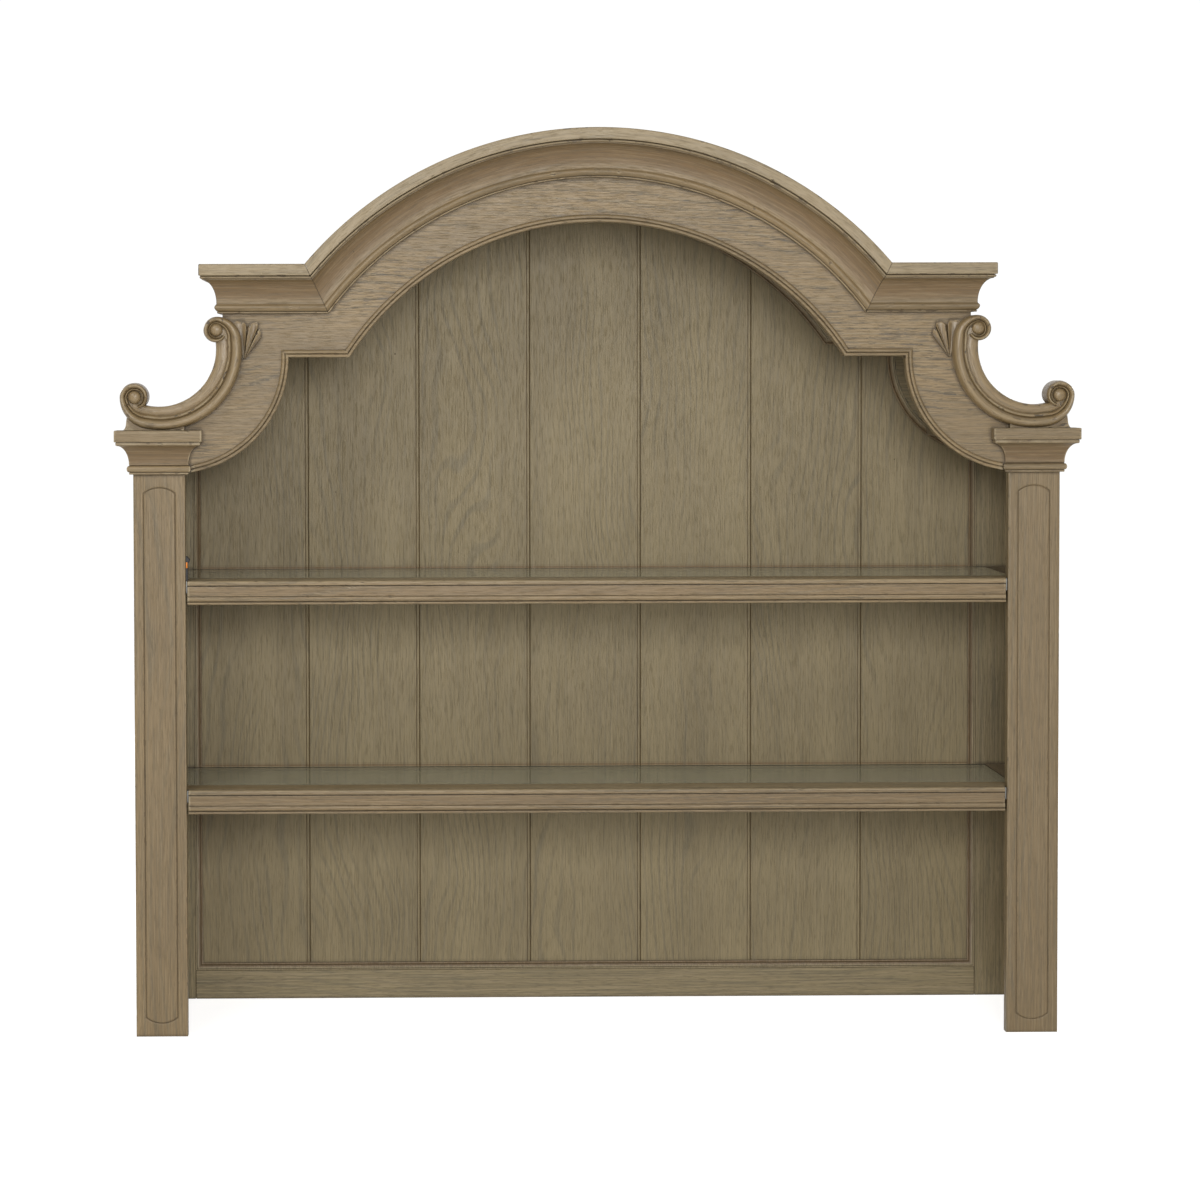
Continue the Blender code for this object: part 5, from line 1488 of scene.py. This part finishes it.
class HUTCH_OT_scrolls(bpy.types.Operator):
    """Carve the C-scrolls that stand on the capitals, with the leaves beside them"""

    bl_idname = "hutch.scrolls"
    bl_label = "Scrolls and Leaves"

    def execute(self, context):
        scroll = settings(context).scroll
        carved, leafy = oak(context, "carved"), oak(context, "leaf")
        centre_z = CAP_TOP + GAP + scroll.radius

        def round_curve(place):
            x, y, z = place
            angle = math.atan2(abs(x) - scroll.centre_x, centre_z - z)
            return scroll.radius * angle, math.hypot(abs(x) - scroll.centre_x, z - centre_z), y

        shell = scroll_shell(scroll)
        for side, mirrored in SIDES:
            node = f"{side}_scroll"
            mesh = mesh_of("scroll", shell.copy(), mirrored=mirrored)
            piece(
                f"{node}_carved", mesh, carved, [node], round_curve, 11 + mirrored, SCROLL_NICKS,
                rear=FACE_BACK_Y - GAP,
            )
            node = f"{side}_leaf"
            mesh = mesh_of("leaf", leaf_shell(scroll), mirrored=mirrored)
            piece(f"{node}_carved", mesh, leafy, [node], "z", 13 + mirrored)
        shell.free()
        return {"FINISHED"}


class HUTCH_OT_back(bpy.types.Operator):
    """Make the planks of the back, the moulding round them and the screws that hold them"""

    bl_idname = "hutch.back"
    bl_label = "Planked Back"

    def execute(self, context):
        groups = settings(context)
        back, opening = groups.back, groups.opening
        wood = oak(context, "plank")
        frame_edge = back.half_opening + back.bead - GAP
        path = opening_path(opening, back.reveal + back.bead - GAP, frame_edge)
        nodes = sorted(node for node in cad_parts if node.startswith("back_plank_"))
        glasses = [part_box(f"{level}_glass")[1].z for level in LEVELS]
        screws = []
        for number, node in enumerate(nodes, 1):
            low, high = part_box(node)
            shade = plank_joints_and_shadow(low, high, back.quirk, glasses)
            mesh = mesh_of("plank", plank_shell(back, path, node, number > 1, glasses))
            piece(f"{node}_chamfered", mesh, wood, [node], "z", 14 + number, shade=shade)
            for t in PLANK_SCREWS:
                place = Vector((low.x + (high.x - low.x) * t, high.y, low.z + back.bead * SCREW_RISE))
                screws.append(screw_shell(place, Vector((0, 1, 0)), back.screw / 2, place.x * SCREW_TURN))

        # Painted shade: the deeper part of the moulding's hollow is painted in the cove colour, as the
        # shade in the recess.
        def recess_painted_shade(place):
            return min(1.0, max(0.0, ((place[1] - BACK_FRONT_Y) / back.recess - 0.18) / 0.12))

        node = "back_moulding"
        mesh = mesh_of("moulding", back_moulding_shell(back, opening))
        piece(f"{node}_moulded", mesh, oak(context, node), [node], "z", 22, shade=recess_painted_shade)
        steel = plain_metal("screw_steel", groups.fittings.steel, 0.36)
        piece("back_screws", mesh_of("screws", *screws), steel, [], "x", smooth=SCREW_SMOOTH)
        return {"FINISHED"}


class HUTCH_OT_shelves(bpy.types.Operator):
    """Make the moulded lips of the shelves and the glass panes that lie behind them"""

    bl_idname = "hutch.shelves"
    bl_label = "Shelf Lips and Glass"

    def execute(self, context):
        shelves = settings(context).shelves
        wood, glass = oak(context, "lip"), pane_glass(context)
        for number, level in enumerate(LEVELS):
            node = f"{level}_shelf_lip"
            shade = lip_glaze_and_highlight(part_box(node)[1].z, shelves)
            mesh = mesh_of("lip", lip_shell(shelves, node))
            piece(f"{node}_moulded", mesh, wood, [node], "x", 23 + number, LIP_NICKS, shade=shade)
            node = f"{level}_glass"
            shade = rear_shade(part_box(node)[1].y - shelves.rear_line)
            mesh = mesh_of("pane", pane_shell(node, shelves.arris, shelves.rear_line))
            body = f"{level}_glass_pane"
            piece(f"{node}_pane", mesh, glass, [node], "x", body=body, shade=shade)
        return {"FINISHED"}


class HUTCH_OT_fittings(bpy.types.Operator):
    """Make the steel end plates, the clip with its button, and the screws of the cleats"""

    bl_idname = "hutch.fittings"
    bl_label = "Fittings"

    def execute(self, context):
        fittings = settings(context).fittings
        steel = plain_metal("plate_steel", fittings.steel, 0.5)
        black = plain_metal("clip_black", fittings.clip, 0.62, metallic=0.0)
        orange = plain_metal("button_orange", fittings.button, 0.38, metallic=0.0)
        for side in ("left", "right"):
            for level in LEVELS:
                node = f"{side}_{level}_end_plate"
                mesh = mesh_of("plate", block_shell(*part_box(node), FITTING_EASE))
                piece(f"{node}_steel", mesh, steel, [node], "z")
                low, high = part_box(f"{side}_{level}_cleat")
                x, out = (high.x, Vector((1, 0, 0))) if side == "left" else (low.x, Vector((-1, 0, 0)))
                heads = []
                for t in CLEAT_SCREWS:
                    place = Vector((x, low.y + (high.y - low.y) * t, (low.z + high.z) / 2))
                    heads.append(screw_shell(place, out, CLEAT_SCREW, t * CLEAT_TURN))
                name = f"{side}_{level}_cleat_screws"
                piece(name, mesh_of("screws", *heads), steel, [], "y", smooth=SCREW_SMOOTH)
        piece("clip_moulded", mesh_of("clip", clip_shell("black_clip")), black, ["black_clip"], "z")
        mesh = mesh_of("button", block_shell(*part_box("clip_button"), FITTING_EASE))
        piece("clip_button_moulded", mesh, orange, ["clip_button"], "z")
        return {"FINISHED"}


def area_light(name, place, target, wide, tall, watts):
    light = bpy.data.lights.new(name, "AREA")
    light.shape = "RECTANGLE"
    light.size, light.size_y = wide, tall
    light.energy = watts
    obj = bpy.data.objects.new(name, light)
    obj.location = place
    obj.rotation_euler = (Vector(target) - Vector(place)).to_track_quat("-Z", "Y").to_euler()
    bpy.context.scene.collection.objects.link(obj)


class HUTCH_OT_stage(bpy.types.Operator):
    """Set the floor, the lights, the surroundings and the camera"""

    bl_idname = "hutch.stage"
    bl_label = "Stage"

    def execute(self, context):
        stage, scene = settings(context).stage, context.scene
        bm = bmesh.new()
        bmesh.ops.create_circle(bm, cap_ends=True, segments=96, radius=stage.floor_size)
        floor = bpy.data.objects.new("floor", bpy.data.meshes.new("floor"))
        bm.to_mesh(floor.data)
        bm.free()
        floor.location = (0, 0, -FLOOR_DROP)
        scene.collection.objects.link(floor)
        surface = Surface(bpy.data.materials.new("pale_floor"))
        glow = surface.blend(surface.background_ray(), (0.0, 0.0, 0.0, 1.0), (*FLOOR_GLOW, 1.0))
        values = {"Base Color": (*stage.floor, 1.0), "Roughness": 0.9}
        values |= {"Emission Color": glow, "Emission Strength": 1.0}
        floor.data.materials.append(surface.finish(values))

        scene.world = bpy.data.worlds.new("room")
        surface = Surface(scene.world)
        strengths = {0: surface.background_ray(), 2: stage.room, 3: BACKGROUND_STRENGTH}
        level = surface.node("Mix", {"data_type": "FLOAT"}, strengths)
        room = surface.node("Background", values={"Color": (1.0, 1.0, 1.0, 1.0), "Strength": level})
        surface.node("OutputWorld", values={"Surface": room})

        area_light("key_light", (0.05, -4.7, 1.65), (0, 0, 0.8), 1.5, 1.3, stage.key)
        area_light("top_light", (-1.9, -3.0, 3.0), (-0.2, 0, 0.9), 1.4, 1.0, stage.fill)
        for side in (-1, 1):
            area_light("rear_light", (side * 2.8, 3.2, 2.2), (0, 0, 0.8), 1.6, 1.4, stage.rear)

        camera = bpy.data.cameras.new("camera")
        camera.lens = stage.lens
        camera.sensor_width = 36.0
        camera.shift_x, camera.shift_y = CAMERA_SHIFT
        obj = bpy.data.objects.new("camera", camera)
        turn = Matrix.Rotation(math.radians(CAMERA_TURN), 4, "Z")
        turn = turn @ Matrix.Rotation(math.radians(90 - CAMERA_DIP), 4, "X")
        turn = turn @ Matrix.Rotation(math.radians(CAMERA_ROLL), 4, "Z")
        obj.matrix_world = Matrix.Translation(CAMERA_PLACE) @ turn
        scene.collection.objects.link(obj)
        scene.camera = obj
        scene.view_settings.view_transform = "Standard"
        return {"FINISHED"}


class HUTCH_PT_panel(bpy.types.Panel):
    bl_idname = "HUTCH_PT_panel"
    bl_label = "Arched Hutch Top"
    bl_space_type = "VIEW_3D"
    bl_region_type = "UI"
    bl_category = "Hutch"

    def draw(self, context):
        for operator in OPERATORS:
            self.layout.operator(operator.bl_idname)


GROUPS = (
    HutchCrown, HutchOpening, HutchPosts, HutchScroll, HutchBack, HutchShelves, HutchOak, HutchFittings,
    HutchStage, HutchSettings,
)
OPERATORS = (
    HUTCH_OT_carcase, HUTCH_OT_posts, HUTCH_OT_crown, HUTCH_OT_reeds, HUTCH_OT_scrolls, HUTCH_OT_back,
    HUTCH_OT_shelves, HUTCH_OT_fittings, HUTCH_OT_stage,
)


def register():
    for part in (*GROUPS, *OPERATORS, HUTCH_PT_panel):
        bpy.utils.register_class(part)
    bpy.types.Scene.hutch = PointerProperty(type=HutchSettings)


def unregister():
    del bpy.types.Scene.hutch
    for part in reversed((*GROUPS, *OPERATORS, HUTCH_PT_panel)):
        bpy.utils.unregister_class(part)


def main():
    register()
    bpy.ops.hutch.carcase()
    bpy.ops.hutch.posts()
    bpy.ops.hutch.crown()
    bpy.ops.hutch.reeds()
    bpy.ops.hutch.scrolls()
    bpy.ops.hutch.back()
    bpy.ops.hutch.shelves()
    bpy.ops.hutch.fittings()
    bpy.ops.hutch.stage()


if __name__ == "__main__":
    main()
